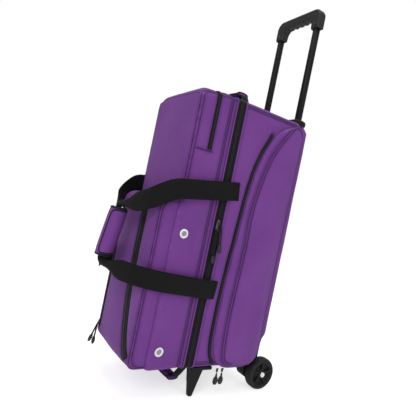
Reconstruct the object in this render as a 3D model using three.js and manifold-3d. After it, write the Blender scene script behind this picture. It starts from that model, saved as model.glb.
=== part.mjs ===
// Rolling bag for three bowling balls, standing upright on two wheels and two feet.
// Millimetres, +Z up. +X is the side with the big pocket, +Y is the side with the telescoping handle.
// Every piece is drawn in bag coordinates, where y = 0 is the plane of the main zipper, and the
// whole bag is then moved by ZIPPER_PLANE_Y so that the origin is under the middle of its box.
import * as THREE from 'three';
import { mergeVertices } from 'three/addons/utils/BufferGeometryUtils.js';
import Module from 'manifold-3d';

const wasm = await Module();
wasm.setup();

// ---------------------------------------------------------------- driving dimensions
const ZIPPER_PLANE_Y = -25.3;
const HALF_WIDTH = 128;
const BAG_BOTTOM = 78;
const BAG_TOP = 810;
const TUB_BACK = 240;
const LID_FRONT = -127;
const POCKET_FRONT = -175;
const POCKET_TOP = 515;
const WALL = 7;
const SIDE_EDGE_RADIUS = 14;
const GAP = 0.3;
const FAR_PAST = 400;

const TAPE_HALF_WIDTH = 14;
const TAPE_THICKNESS = 3;
const ZIP_THICKNESS = 1.6;

const BALL_PITCH = 228;
const BALL_MIDDLE_Z = (BAG_BOTTOM + BAG_TOP) / 2;
const DIVIDER_THICKNESS = 8;
const BALL_PAD_THICKNESS = 8;
const BALL_PAD_HOLE_RADIUS = 50;

const ROD_X = 79.5;
const ROD_Y = 253;
const ROD_RADIUS = 11;
const ROD_BOTTOM = 770;
const SOCKET_BOTTOM = 1124;
const ROD_TOP = SOCKET_BOTTOM + 16;
const GRIP_TOP = 1188;
const GRIP_DEPTH = 30;
const TUBE_OUTER_RADIUS = 13;
const TUBE_BORE_RADIUS = 11.5;
const BEZEL_HEIGHT = 20;

const WHEEL_RADIUS = 47.4;
const WHEEL_Y = 270;
const WHEEL_INNER_X = 104;
const WHEEL_WIDTH = 30;
const RIM_RADIUS = 38;
const AXLE_RADIUS = 5;
const HOUSING_INNER_X = 66;
const HOUSING_OUTER_X = 101;
const HOUSING_TOP = 130;

const WEBBING_WIDTH = 50;
const WEBBING_THICKNESS = 3;
const STRAP_HINGE_Y = 20;
const WRAP_X = -6;
const WRAP_Y = -236;
const WRAP_MIDDLE_Z = 398;
const WRAP_HALF_HEIGHT = 64;
const WRAP_LEAN = 0.14;

const GRAB_WEBBING_WIDTH = 28;
const GRAB_SLEEVE_LENGTH = 98;
const GRAB_SLEEVE_THICKNESS = 14;

// ---------------------------------------------------------------- materials
function material(color, roughness, metalness = 0) {
  return new THREE.MeshStandardMaterial({ color, roughness, metalness });
}
const purpleFabric = material(0x6e3e8a, 0.85);
const blackLining = material(0x232326, 0.9);
const blackWebbing = material(0x1e1e1e, 0.8);
const zipperTape = material(0x18181a, 0.7);
const blackPlastic = material(0x202022, 0.45);
const softGrip = material(0x1b1b1d, 0.6);
const blackTube = material(0x17171a, 0.3, 0.6);
const tyreRubber = material(0x1a1a1a, 0.85);
const brightSteel = material(0xc8c8cc, 0.25, 1);
const foam = material(0x3a3a3e, 0.95);

// ---------------------------------------------------------------- geometry helpers
const ARC_STEPS = 5;
const ROUND_STEPS = 20;
const WHEEL_STEPS = 32;
const X_AXIS = new THREE.Vector3(1, 0, 0);
const Y_AXIS = new THREE.Vector3(0, 1, 0);
const Z_AXIS = new THREE.Vector3(0, 0, 1);

// An outline is drawn in (y, z) when it is extruded along x, in (x, z) along y and in (x, y) along z.
const EXTRUDE_FRAMES = {
  x: new THREE.Matrix4().makeBasis(Y_AXIS, Z_AXIS, X_AXIS),
  y: new THREE.Matrix4().makeBasis(X_AXIS, Z_AXIS, Y_AXIS.clone().negate()),
  z: new THREE.Matrix4(),
};

// Where an arc meets a line they share a point, and only one of the two copies is kept.
function withoutDoubles(curve) {
  const points = curve.getPoints(ARC_STEPS);
  return points.filter((point, i) => point.distanceTo(points[(i + 1) % points.length]) > 0.01);
}

function slab(outline, axis, from, to, { bevel = 0, inset = bevel, bevelSteps = 2 } = {}) {
  const cleanOutline = new THREE.Shape(withoutDoubles(outline));
  cleanOutline.holes = outline.holes.map((hole) => new THREE.Path(withoutDoubles(hole)));
  const geometry = new THREE.ExtrudeGeometry(cleanOutline, {
    depth: to - from - 2 * bevel,
    bevelEnabled: bevel > 0,
    bevelThickness: bevel,
    bevelSize: inset,
    bevelOffset: -inset,
    bevelSegments: bevelSteps,
  });
  geometry.translate(0, 0, (axis === 'y' ? -to : from) + bevel);
  return geometry.applyMatrix4(EXTRUDE_FRAMES[axis]);
}

// Radii run from the low-low corner anticlockwise: (low, low), (high, low), (high, high), (low, high).
function roundedRectangle(left, bottom, right, top, radii) {
  const [a, b, c, d] = Array.isArray(radii) ? radii : [radii, radii, radii, radii];
  const shape = new THREE.Shape();
  shape.moveTo(left + a, bottom);
  shape.lineTo(right - b, bottom);
  shape.absarc(right - b, bottom + b, b, -Math.PI / 2, 0, false);
  shape.lineTo(right, top - c);
  shape.absarc(right - c, top - c, c, 0, Math.PI / 2, false);
  shape.lineTo(left + d, top);
  shape.absarc(left + d, top - d, d, Math.PI / 2, Math.PI, false);
  shape.lineTo(left, bottom + a);
  shape.absarc(left + a, bottom + a, a, Math.PI, Math.PI * 1.5, false);
  return shape;
}

function polygon(points) {
  return new THREE.Shape(points.map(([u, v]) => new THREE.Vector2(u, v)));
}

// A strip of even width that follows a path: its two long edges are the path moved to either side.
function ribbon(path, width, steps) {
  const sides = [1, -1].map((side) =>
    Array.from({ length: steps + 1 }, (_, i) => {
      const point = path.getPointAt(i / steps);
      const along = path.getTangentAt(i / steps);
      const across = new THREE.Vector2(-along.y, along.x);
      return point.addScaledVector(across, (side * width) / 2);
    }));
  return new THREE.Shape([...sides[1], ...sides[0].reverse()]);
}

function smoothPath(points) {
  return new THREE.SplineCurve(points.map(([u, v]) => new THREE.Vector2(u, v)));
}

function box(x0, x1, y0, y1, z0, z1) {
  const geometry = new THREE.BoxGeometry(x1 - x0, y1 - y0, z1 - z0);
  return geometry.translate((x0 + x1) / 2, (y0 + y1) / 2, (z0 + z1) / 2);
}

// A rod along x, y or z, given the two coordinates across it in the order of EXTRUDE_FRAMES.
function rod(axis, u, v, radius, from, to, steps = ROUND_STEPS) {
  const circle = Array.from({ length: steps }, (_, i) => {
    const angle = (2 * Math.PI * i) / steps;
    return [u + radius * Math.cos(angle), v + radius * Math.sin(angle)];
  });
  return slab(polygon(circle), axis, from, to);
}

// A ring turned about x: the profile is a list of [distance along x, radius].
function turnedAboutX(profile, y, z, steps) {
  const points = profile.map(([along, radius]) => new THREE.Vector2(radius, along));
  const geometry = new THREE.LatheGeometry(points, steps);
  geometry.rotateZ(-Math.PI / 2);
  return geometry.translate(0, y, z);
}

function mirroredX(geometry) {
  const mirrored = geometry.toNonIndexed();
  const position = mirrored.getAttribute('position');
  for (let i = 0; i < position.count; i += 3) {
    const corners = [i, i + 2, i + 1].map((k) => new THREE.Vector3().fromBufferAttribute(position, k));
    corners.forEach((corner, k) => position.setXYZ(i + k, -corner.x, corner.y, corner.z));
  }
  mirrored.deleteAttribute('normal');
  mirrored.deleteAttribute('uv');
  return mirrored;
}

function reshaped(geometry, move) {
  const position = geometry.getAttribute('position');
  for (let i = 0; i < position.count; i += 1) {
    const point = new THREE.Vector3().fromBufferAttribute(position, i);
    move(point);
    position.setXYZ(i, point.x, point.y, point.z);
  }
  return geometry;
}

function toSolid(geometry) {
  const bare = geometry.clone();
  bare.deleteAttribute('normal');
  bare.deleteAttribute('uv');
  const merged = mergeVertices(bare, 1e-4);
  return new wasm.Manifold(new wasm.Mesh({
    numProp: 3,
    vertProperties: new Float32Array(merged.getAttribute('position').array),
    triVerts: new Uint32Array(merged.index.array),
  }));
}

function fromSolid(solid) {
  const mesh = solid.getMesh();
  const geometry = new THREE.BufferGeometry();
  geometry.setAttribute('position', new THREE.BufferAttribute(mesh.vertProperties, 3));
  geometry.setIndex(new THREE.BufferAttribute(mesh.triVerts, 1));
  return geometry;
}

function cut(base, ...tools) {
  return fromSolid(tools.reduce((solid, tool) => solid.subtract(toSolid(tool)), toSolid(base)));
}

function joined(...pieces) {
  return fromSolid(pieces.map(toSolid).reduce((all, piece) => all.add(piece)));
}

function common(first, second) {
  return fromSolid(toSolid(first).intersect(toSolid(second)));
}

const bag = new THREE.Group();
bag.position.y = ZIPPER_PLANE_Y;

function addPiece(name, geometry, look) {
  const mesh = new THREE.Mesh(geometry, look);
  mesh.name = name;
  bag.add(mesh);
}

function addPair(name, geometry, look) {
  addPiece(`${name}_near`, geometry, look);
  addPiece(`${name}_far`, mirroredX(geometry), look);
}

// ---------------------------------------------------------------- tub: the ball compartment
const TUB_LOWER_BACK_RADIUS = 50;
const TUB_UPPER_BACK_RADIUS = 30;
const LEAST_RADIUS = SIDE_EDGE_RADIUS + 2;

function tubBlock(grow = 0) {
  const radii = [LEAST_RADIUS, TUB_LOWER_BACK_RADIUS, TUB_UPPER_BACK_RADIUS, LEAST_RADIUS];
  const side = roundedRectangle(-60, BAG_BOTTOM - grow, TUB_BACK + grow, BAG_TOP + grow, radii);
  return slab(side, 'x', -HALF_WIDTH - grow, HALF_WIDTH + grow, { bevel: SIDE_EDGE_RADIUS });
}

function tubShell() {
  const radii = [1, TUB_LOWER_BACK_RADIUS - WALL, TUB_UPPER_BACK_RADIUS - WALL, 1];
  const inside = roundedRectangle(-80, BAG_BOTTOM + WALL, TUB_BACK - WALL, BAG_TOP - WALL, radii);
  const hollow = slab(inside, 'x', -HALF_WIDTH + WALL, HALF_WIDTH - WALL);
  const mouth = box(-FAR_PAST, FAR_PAST, -FAR_PAST, TAPE_HALF_WIDTH + GAP, 0, BAG_TOP + 100);
  return cut(tubBlock(), hollow, mouth);
}

// The band where tub and lid meet is a thin frame. Three sides of it are zipper tape, and the
// fourth, on the far side, is the fabric hinge.
function bandFrame(y0, y1) {
  const outer = roundedRectangle(-HALF_WIDTH, BAG_BOTTOM, HALF_WIDTH, BAG_TOP, SIDE_EDGE_RADIUS);
  outer.holes.push(roundedRectangle(
    -HALF_WIDTH + TAPE_THICKNESS, BAG_BOTTOM + TAPE_THICKNESS,
    HALF_WIDTH - TAPE_THICKNESS, BAG_TOP - TAPE_THICKNESS,
    SIDE_EDGE_RADIUS - TAPE_THICKNESS));
  return slab(outer, 'y', y0, y1);
}

const HINGE_STRIP_INNER_X = -112;

function zipperPart(y0, y1) {
  return cut(bandFrame(y0, y1), box(-FAR_PAST, HINGE_STRIP_INNER_X, y0 - 1, y1 + 1, 0, BAG_TOP + 1));
}

function hingePart(y0, y1) {
  const keep = box(-FAR_PAST, -HALF_WIDTH + SIDE_EDGE_RADIUS - 2, y0 - 1, y1 + 1,
    BAG_BOTTOM + SIDE_EDGE_RADIUS, BAG_TOP - SIDE_EDGE_RADIUS);
  return common(bandFrame(y0, y1), keep);
}

function ballPad() {
  const front = TUB_BACK - WALL - GAP - BALL_PAD_THICKNESS;
  const half = HALF_WIDTH - WALL - 8;
  const outline = roundedRectangle(-half, BAG_BOTTOM + 54, half, BAG_TOP - 34, 12);
  [-1, 0, 1].forEach((step) => {
    const hole = new THREE.Path();
    hole.absarc(0, BALL_MIDDLE_Z + step * BALL_PITCH, BALL_PAD_HOLE_RADIUS, 0, Math.PI * 2, true);
    outline.holes.push(hole);
  });
  return slab(outline, 'y', front, front + BALL_PAD_THICKNESS);
}

function ballDivider(step) {
  const middle = BALL_MIDDLE_Z + step * (BALL_PITCH / 2);
  const half = HALF_WIDTH - WALL - 0.5;
  const back = TUB_BACK - WALL - BALL_PAD_THICKNESS - 2 * GAP;
  const outline = roundedRectangle(-half, TAPE_HALF_WIDTH + 2, half, back, 14);
  return slab(outline, 'z', middle - DIVIDER_THICKNESS / 2, middle + DIVIDER_THICKNESS / 2);
}

addPiece('tub_shell', tubShell(), purpleFabric);
addPiece('zip_tape_tub', zipperPart(GAP / 2, TAPE_HALF_WIDTH), zipperTape);
addPiece('hinge_strip_tub', hingePart(GAP / 2, TAPE_HALF_WIDTH), blackWebbing);
addPiece('ball_pad', ballPad(), foam);
addPiece('ball_divider_upper', ballDivider(1), blackLining);
addPiece('ball_divider_lower', ballDivider(-1), blackLining);

// ---------------------------------------------------------------- lid: shoe compartment and pocket
const LID_TOP_RADIUS = 28;
const DIVIDER_FRONT = -26;
const DIVIDER_BACK = -22;
const POCKET_WALL = 4;
const POCKET_HALF_WIDTH = 125;
const POCKET_EDGE_RADIUS = 12;

function lidShell() {
  const radii = [LEAST_RADIUS, LEAST_RADIUS, LEAST_RADIUS, LID_TOP_RADIUS];
  const side = roundedRectangle(LID_FRONT, BAG_BOTTOM, 60, BAG_TOP, radii);
  const block = slab(side, 'x', -HALF_WIDTH, HALF_WIDTH, { bevel: SIDE_EDGE_RADIUS });
  const inside = roundedRectangle(LID_FRONT + WALL, BAG_BOTTOM + WALL, 80, BAG_TOP - WALL, [9, 1, 1, 21]);
  const hollow = slab(inside, 'x', -HALF_WIDTH + WALL, HALF_WIDTH - WALL);
  const mouth = box(-FAR_PAST, FAR_PAST, -TAPE_HALF_WIDTH - GAP, FAR_PAST, 0, BAG_TOP + 100);
  return cut(block, hollow, mouth);
}

function lidDivider() {
  const half = HALF_WIDTH - WALL - 0.5;
  const outline = roundedRectangle(-half, BAG_BOTTOM + WALL + 0.5, half, BAG_TOP - WALL - 0.5, 6);
  return slab(outline, 'y', DIVIDER_FRONT, DIVIDER_BACK);
}

function frontPocket() {
  const past = LID_FRONT + 45;
  const side = roundedRectangle(POCKET_FRONT, BAG_BOTTOM + 1, past, POCKET_TOP, [24, 14, 14, 34]);
  const block = slab(side, 'x', -POCKET_HALF_WIDTH, POCKET_HALF_WIDTH, { bevel: POCKET_EDGE_RADIUS });
  const inside = roundedRectangle(POCKET_FRONT + POCKET_WALL, BAG_BOTTOM + 1 + POCKET_WALL,
    past + 10, POCKET_TOP - POCKET_WALL, [20, 1, 1, 30]);
  const hollow = slab(inside, 'x', -POCKET_HALF_WIDTH + POCKET_WALL + 1, POCKET_HALF_WIDTH - POCKET_WALL - 1);
  const back = box(-FAR_PAST, FAR_PAST, LID_FRONT - GAP, FAR_PAST, 0, BAG_TOP);
  return cut(block, hollow, back);
}

// The shoe compartment's zipper goes over the top end and down both sides.
const SHOE_ZIP_FRONT = -80;
const SHOE_ZIP_BACK = -67;
const SHOE_ZIP_END_Z = 655;

function shoeZip() {
  const ring = (grow) => roundedRectangle(-HALF_WIDTH - grow, BAG_BOTTOM, HALF_WIDTH + grow,
    BAG_TOP + grow, SIDE_EDGE_RADIUS + grow);
  const outer = ring(GAP + ZIP_THICKNESS);
  const band = cut(slab(outer, 'y', SHOE_ZIP_FRONT, SHOE_ZIP_BACK),
    slab(ring(GAP), 'y', SHOE_ZIP_FRONT - 1, SHOE_ZIP_BACK + 1));
  return cut(band, box(-FAR_PAST, FAR_PAST, -FAR_PAST, FAR_PAST, 0, SHOE_ZIP_END_Z));
}

const NEAR_ZIP_WIDTH = 28;

// The near zipper of the front pocket runs down the face and sweeps out to the near lower corner.
function nearPocketZip() {
  const path = smoothPath([[40, 482], [39, 400], [40, 320], [47, 240], [64, 165], [92, 108]]);
  const y = POCKET_FRONT - GAP;
  return slab(ribbon(path, NEAR_ZIP_WIDTH, 14), 'y', y - ZIP_THICKNESS, y);
}

function farPocketZip() {
  const y = POCKET_FRONT - GAP;
  return slab(roundedRectangle(-112, 108, -103, 474, 4), 'y', y - ZIP_THICKNESS, y);
}

function ventGrommet(z) {
  const face = HALF_WIDTH + GAP;
  const profile = [[face, 0], [face, 12], [face + 1.4, 12], [face + 2.4, 10.4], [face + 2.4, 8.4],
    [face + 1.2, 7], [face + 1.2, 0]];
  return turnedAboutX(profile, -99, z, ROUND_STEPS);
}

addPiece('lid_shell', lidShell(), purpleFabric);
addPiece('zip_tape_lid', zipperPart(-TAPE_HALF_WIDTH, -GAP / 2), zipperTape);
addPiece('hinge_strip_lid', hingePart(-TAPE_HALF_WIDTH, -GAP / 2), blackWebbing);
addPiece('lid_divider', lidDivider(), blackLining);
addPiece('front_pocket', frontPocket(), purpleFabric);
addPiece('shoe_zip', shoeZip(), zipperTape);
addPiece('pocket_zip_near', nearPocketZip(), zipperTape);
addPiece('pocket_zip_far', farPocketZip(), zipperTape);
addPiece('vent_grommet_upper', ventGrommet(432), brightSteel);
addPiece('vent_grommet_lower', ventGrommet(128), brightSteel);

// ---------------------------------------------------------------- side pocket on the near side
const SIDE_POCKET_FACE_X = 146;
const SIDE_ZIP_PATH = [[124, 748], [92, 672], [74, 580], [64, 441], [56, 310], [54, 190], [60, 122], [78, 88]];

function sidePocket() {
  const front = SIDE_ZIP_PATH.slice(0, -2).map(([y, z]) => new THREE.Vector2(y + 8, z));
  const back = 234;
  const bottom = 76;
  const top = 796;
  const lowerRadius = 60;
  const upperRadius = 29;
  const outline = new THREE.Shape();
  outline.moveTo(back - lowerRadius, bottom);
  outline.absarc(back - lowerRadius, bottom + lowerRadius, lowerRadius, -Math.PI / 2, 0, false);
  outline.lineTo(back, top - upperRadius);
  outline.absarc(back - upperRadius, top - upperRadius, upperRadius, 0, Math.PI / 2, false);
  outline.lineTo(front[0].x + 40, front[0].y + 34);
  outline.quadraticCurveTo(front[0].x + 10, front[0].y + 20, front[0].x, front[0].y);
  outline.splineThru(front.slice(1));
  outline.bezierCurveTo(front.at(-1).x, bottom + 40, front.at(-1).x + 20, bottom, front.at(-1).x + 60, bottom);
  const block = slab(outline, 'x', 100, SIDE_POCKET_FACE_X, { bevel: 16, inset: 9 });
  return cut(block, box(0, HALF_WIDTH + GAP, 0, FAR_PAST, 0, BAG_TOP + 100));
}

function sidePocketZip() {
  const x = HALF_WIDTH + GAP;
  return slab(ribbon(smoothPath(SIDE_ZIP_PATH), 9, 20), 'x', x, x + ZIP_THICKNESS);
}

addPiece('side_pocket', sidePocket(), purpleFabric);
addPiece('side_pocket_zip', sidePocketZip(), zipperTape);

// ---------------------------------------------------------------- zipper sliders and their pulls
const SLIDER_THICKNESS = 4;
const SLIDER_LENGTH = 15;
const PULL_THICKNESS = 3;

// A slider on an upright zipper of the near side, seen from +x: a tapered body on the tape.
function sideSlider(y, z) {
  const half = SLIDER_LENGTH / 2;
  const x = HALF_WIDTH + GAP + 0.1;
  const outline = polygon([[y - 5, z - half], [y + 5, z - half], [y + 4, z + half - 3], [y + 2, z + half],
    [y - 2, z + half], [y - 4, z + half - 3]]);
  return slab(outline, 'x', x, x + SLIDER_THICKNESS, { bevel: 0.8 });
}

// A cord pull that hangs down the side: a loop of cord drawn as one flat strip, and a moulded end.
function sidePull(x, y, top, bottom) {
  const cord = box(x, x + PULL_THICKNESS - 1, y - 2.5, y + 2.5, bottom + 14, top);
  const end = slab(roundedRectangle(y - 4.5, bottom, y + 4.5, bottom + 20, 3), 'x', x - 0.2, x + PULL_THICKNESS);
  return joined(cord, end);
}

const PULL_X = HALF_WIDTH + GAP + SLIDER_THICKNESS + 0.6;
addPiece('main_slider_upper', sideSlider(0, 474), blackPlastic);
addPiece('main_slider_lower', sideSlider(0, 456), blackPlastic);
addPiece('main_pull_upper', sidePull(PULL_X, 5, 474, 396), blackPlastic);
addPiece('main_pull_lower', sidePull(PULL_X, -5, 456, 366), blackPlastic);

const SIDE_SLIDER_Y = [98, 116];
['front', 'rear'].forEach((place, i) => {
  const y = SIDE_SLIDER_Y[i];
  const x = HALF_WIDTH + GAP;
  addPiece(`side_slider_${place}`, box(x, x + SLIDER_THICKNESS, y - 4, y + 4, 63, 75), blackPlastic);
  addPiece(`side_pull_${place}`, sidePull(x + 0.5, y, 61, 30), blackPlastic);
});

// The front pocket's far slider with its pull, and the shoe zipper's slider on the far side.
function pocketSliderFar() {
  const y = POCKET_FRONT - GAP - ZIP_THICKNESS - GAP;
  const body = slab(roundedRectangle(-112.5, 112, -102.5, 127, 2), 'y', y - SLIDER_THICKNESS, y);
  const cord = box(-109, -106, y - 3.5, y - 1, 76, 113);
  const end = box(-111, -104, y - 4.5, y - 0.5, 58, 77);
  return joined(body, cord, end);
}

function shoeSlider() {
  const x = -HALF_WIDTH - GAP - ZIP_THICKNESS - GAP;
  const body = slab(roundedRectangle(-79, 660, -69, 675, 2), 'x', x - SLIDER_THICKNESS, x);
  const pull = box(x - 3.5, x - 1, -77, -71, 620, 661);
  return joined(body, pull);
}

addPiece('pocket_slider_far', pocketSliderFar(), blackPlastic);
addPiece('shoe_slider', shoeSlider(), blackPlastic);

// ---------------------------------------------------------------- carry handle
// Two webbing loops come forward round the lid and meet in front of it in a padded wrap.
// The near loop turns about its sewn ends on the tub, and the far loop is sewn to the lid.
const STRAP_UPPER_Z = 564;
const STRAP_LOWER_Z = 295;
const UPPER_SLOPE = -0.15;
const LOWER_SLOPE = 0.085;

// Past the lid's front corner the upper straps droop, and the far one more than the near one.
function drooping(startY, droop, power) {
  return (y) => {
    const past = Math.max(0, startY - y) / 90;
    return STRAP_UPPER_Z + UPPER_SLOPE * (STRAP_HINGE_Y - y) - droop * past ** power;
  };
}

const nearUpperHeight = drooping(-145, 58, 1.4);
const farUpperHeight = drooping(-130, 85, 1.3);

function lowerStrapHeight(y) {
  return STRAP_LOWER_Z + LOWER_SLOPE * (STRAP_HINGE_Y - y);
}

const UPPER_ANCHOR_END = STRAP_HINGE_Y + 26;
const LOWER_ANCHOR_END = STRAP_HINGE_Y + 16;

// The webbing is gathered to less than half its width where it enters the wrap.
function strapBand(points, heightAt) {
  const outline = ribbon(smoothPath(points), WEBBING_THICKNESS, 22);
  const band = slab(outline, 'z', -WEBBING_WIDTH / 2, WEBBING_WIDTH / 2);
  return reshaped(band, (point) => {
    const gathered = THREE.MathUtils.smoothstep(Math.abs(point.x), 28, 85);
    point.z = point.z * (0.38 + 0.62 * gathered) + heightAt(point.y);
  });
}

function leaned(geometry) {
  return reshaped(geometry, (point) => { point.y += WRAP_LEAN * (point.z - WRAP_MIDDLE_Z); });
}

// The strap's sewn end, behind the axis that the loop turns about.
function strapAnchor(heightAt, endY) {
  const x = HALF_WIDTH + GAP;
  const band = box(x, x + WEBBING_THICKNESS, STRAP_HINGE_Y + 2.5, endY,
    -WEBBING_WIDTH / 2, WEBBING_WIDTH / 2);
  return reshaped(band, (point) => { point.z += heightAt(point.y); });
}

function nearStrap() {
  const side = [[131.5, STRAP_HINGE_Y - 1.5], [138, 12], [141, 0], [143, -45], [144, -100], [141, -150]];
  const upper = strapBand([...side, [120, -194], [74, -217], [24, -227], [-2, -229]], nearUpperHeight);
  const lower = strapBand([...side, [121, -196], [76, -226], [24, -246], [-2, -251]], lowerStrapHeight);
  const grip = leaned(box(-8, 6, WRAP_Y - 10, WRAP_Y - 4, 312, 480));
  return joined(upper, lower, grip);
}

function farStrap() {
  const side = [[-130.8, -17], [-131.5, -45], [-138, -75], [-144.2, -110], [-141, -150]];
  const upper = strapBand([...side, [-120, -190], [-76, -208], [-38, -216], [-16, -218]], farUpperHeight);
  const lower = strapBand([...side, [-121, -194], [-78, -220], [-40, -236], [-16, -241]], lowerStrapHeight);
  const grip = leaned(box(-24, -10, WRAP_Y + 4, WRAP_Y + 9, 312, 452));
  return joined(upper, lower, grip);
}

// The wrap is a padded C that stays open towards the far side, where the far loop slips out.
function handleWrap() {
  const from = THREE.MathUtils.degToRad(200);
  const to = THREE.MathUtils.degToRad(360 + 95);
  const outline = new THREE.Shape();
  outline.absellipse(WRAP_X, WRAP_Y, 26, 22, from, to, false, 0);
  outline.absellipse(WRAP_X, WRAP_Y, 20, 16, to, from, true, 0);
  const low = WRAP_MIDDLE_Z - WRAP_HALF_HEIGHT;
  const high = WRAP_MIDDLE_Z + WRAP_HALF_HEIGHT;
  return leaned(slab(outline, 'z', low, high));
}

addPiece('strap_anchor_upper', strapAnchor(nearUpperHeight, UPPER_ANCHOR_END), blackWebbing);
addPiece('strap_anchor_lower', strapAnchor(lowerStrapHeight, LOWER_ANCHOR_END), blackWebbing);
addPiece('near_strap', nearStrap(), blackWebbing);
addPiece('far_strap', farStrap(), blackWebbing);
addPiece('handle_wrap', handleWrap(), purpleFabric);

// ---------------------------------------------------------------- grab handles at both ends
// Drawn as an arch over z = 0, and turned over for the bottom end.
function grabWebbing(rise) {
  const half = [[94, 2], [86, 2], [78, 4], [69, rise * 0.45], [57, rise * 0.92], [40, rise + 1]];
  const otherHalf = half.map(([x, z]) => [-x, z]);
  const path = smoothPath([...otherHalf, [0, rise + 2], ...half.reverse()]);
  return slab(ribbon(path, 2.6, 40), 'y', -GRAB_WEBBING_WIDTH / 2, GRAB_WEBBING_WIDTH / 2);
}

function grabSleeve(rise) {
  const half = GRAB_SLEEVE_THICKNESS / 2;
  const length = GRAB_SLEEVE_LENGTH / 2;
  const path = smoothPath([[-length, rise - 1], [-36, rise + 1], [0, rise + 2], [36, rise + 1], [length, rise - 1]]);
  const pad = slab(ribbon(path, GRAB_SLEEVE_THICKNESS, 8), 'y', -GRAB_WEBBING_WIDTH / 2 - 4,
    GRAB_WEBBING_WIDTH / 2 + 4, { bevel: half - 2, inset: 3 });
  const slotPath = smoothPath([[-length - 9, rise - 5], [-length, rise - 1], [-36, rise + 1], [0, rise + 2],
    [36, rise + 1], [length, rise - 1], [length + 9, rise - 5]]);
  const slot = slab(ribbon(slotPath, 5.4, 18), 'y', -GRAB_WEBBING_WIDTH / 2 - GAP, GRAB_WEBBING_WIDTH / 2 + GAP);
  return cut(pad, slot);
}

const TOP_GRAB_Y = 48;
const TOP_GRAB_RISE = 37;
const BOTTOM_GRAB_Y = 30;
const BOTTOM_GRAB_DROP = 58;
const BOTTOM_GRAB_SWING = 0.42;

function onTop(geometry) {
  return geometry.translate(0, TOP_GRAB_Y, BAG_TOP);
}

// The bottom handle hangs, and its loop swings towards the lid as it drops.
function underneath(geometry) {
  geometry.rotateX(Math.PI);
  geometry.translate(0, BOTTOM_GRAB_Y, BAG_BOTTOM);
  return reshaped(geometry, (point) => { point.y += BOTTOM_GRAB_SWING * Math.min(0, point.z - BAG_BOTTOM + 4); });
}

addPiece('top_grab_webbing', onTop(grabWebbing(TOP_GRAB_RISE)), blackWebbing);
addPiece('top_grab_sleeve', onTop(grabSleeve(TOP_GRAB_RISE)), purpleFabric);
addPiece('bottom_grab_webbing', underneath(grabWebbing(BOTTOM_GRAB_DROP)), blackWebbing);
addPiece('bottom_grab_sleeve', underneath(grabSleeve(BOTTOM_GRAB_DROP)), purpleFabric);

// ---------------------------------------------------------------- base: plate, feet, wheels
function basePlate() {
  const outline = roundedRectangle(-96, 48, 96, 186, 10);
  return slab(outline, 'z', BAG_BOTTOM - 10, BAG_BOTTOM - GAP);
}

// A tapered leg that leans outwards, under a long screw-on flange.
function foot() {
  const flangeBottom = BAG_BOTTOM - 9;
  const side = slab(polygon([[20, 0], [32, 0], [52, flangeBottom + 1], [16, flangeBottom + 1]]), 'x', 80, 140);
  const front = slab(polygon([[115, 0], [127, 0], [126, flangeBottom + 1], [96, flangeBottom + 1]]), 'y', 0, 80);
  const flange = slab(roundedRectangle(97, 15, 125, 84, 3), 'z', flangeBottom, BAG_BOTTOM - GAP);
  return joined(common(side, front), flange);
}

// A corner moulding that holds the foot of the telescoping tube and the wheel's axle.
function wheelHousing() {
  const corner = slab(roundedRectangle(190, 56, 268, HOUSING_TOP, 8), 'x', HOUSING_INNER_X, HOUSING_OUTER_X);
  const arm = slab(roundedRectangle(222, WHEEL_RADIUS - 23, WHEEL_Y + 24, WHEEL_RADIUS + 24, 22), 'x',
    HOUSING_INNER_X, HOUSING_OUTER_X);
  const axleHole = rod('x', WHEEL_Y, WHEEL_RADIUS, AXLE_RADIUS + GAP, 90, HOUSING_OUTER_X + 1);
  return cut(joined(corner, arm), tubBlock(GAP), axleHole);
}

function axle() {
  const cap = WHEEL_INNER_X + WHEEL_WIDTH + 0.6;
  return turnedAboutX([[90.5, 0], [90.5, AXLE_RADIUS], [cap, AXLE_RADIUS], [cap, 8], [cap + 2, 7], [cap + 2.6, 0]],
    WHEEL_Y, WHEEL_RADIUS, ROUND_STEPS);
}

function wheelHub() {
  const inner = WHEEL_INNER_X;
  const outer = WHEEL_INNER_X + WHEEL_WIDTH;
  const bore = AXLE_RADIUS + GAP;
  const profile = [[inner + 1, bore], [inner + 1, 13], [inner + 9, 14], [inner + 9, 31], [inner + 2, 34],
    [inner + 2, RIM_RADIUS], [outer - 2, RIM_RADIUS], [outer - 2, 34], [outer - 9, 31], [outer - 9, 14],
    [outer, 11], [outer, bore], [inner + 1, bore]];
  return turnedAboutX(profile, WHEEL_Y, WHEEL_RADIUS, WHEEL_STEPS);
}

function tyre() {
  const inner = WHEEL_INNER_X;
  const outer = WHEEL_INNER_X + WHEEL_WIDTH;
  const profile = [[inner + 1, RIM_RADIUS + GAP], [inner, RIM_RADIUS + 3], [inner + 1, 44.4], [inner + 6, WHEEL_RADIUS],
    [outer - 6, WHEEL_RADIUS], [outer - 1, 44.4], [outer, RIM_RADIUS + 3], [outer - 1, RIM_RADIUS + GAP],
    [inner + 1, RIM_RADIUS + GAP]];
  return turnedAboutX(profile, WHEEL_Y, WHEEL_RADIUS, WHEEL_STEPS);
}

addPiece('base_plate', basePlate(), blackPlastic);
addPair('foot', foot(), blackPlastic);
addPair('wheel_housing', wheelHousing(), blackPlastic);
addPair('axle', axle(), brightSteel);
addPair('wheel_hub', wheelHub(), blackPlastic);
addPair('tyre', tyre(), tyreRubber);

// ---------------------------------------------------------------- telescoping handle
const COVER_HALF_WIDTH = 116;
const COVER_BACK = 271;
const COVER_BOTTOM = HOUSING_TOP + 4;
const COVER_TOP = BAG_TOP - 3;
const BRACE_HALF_HEIGHT = 12;

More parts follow.
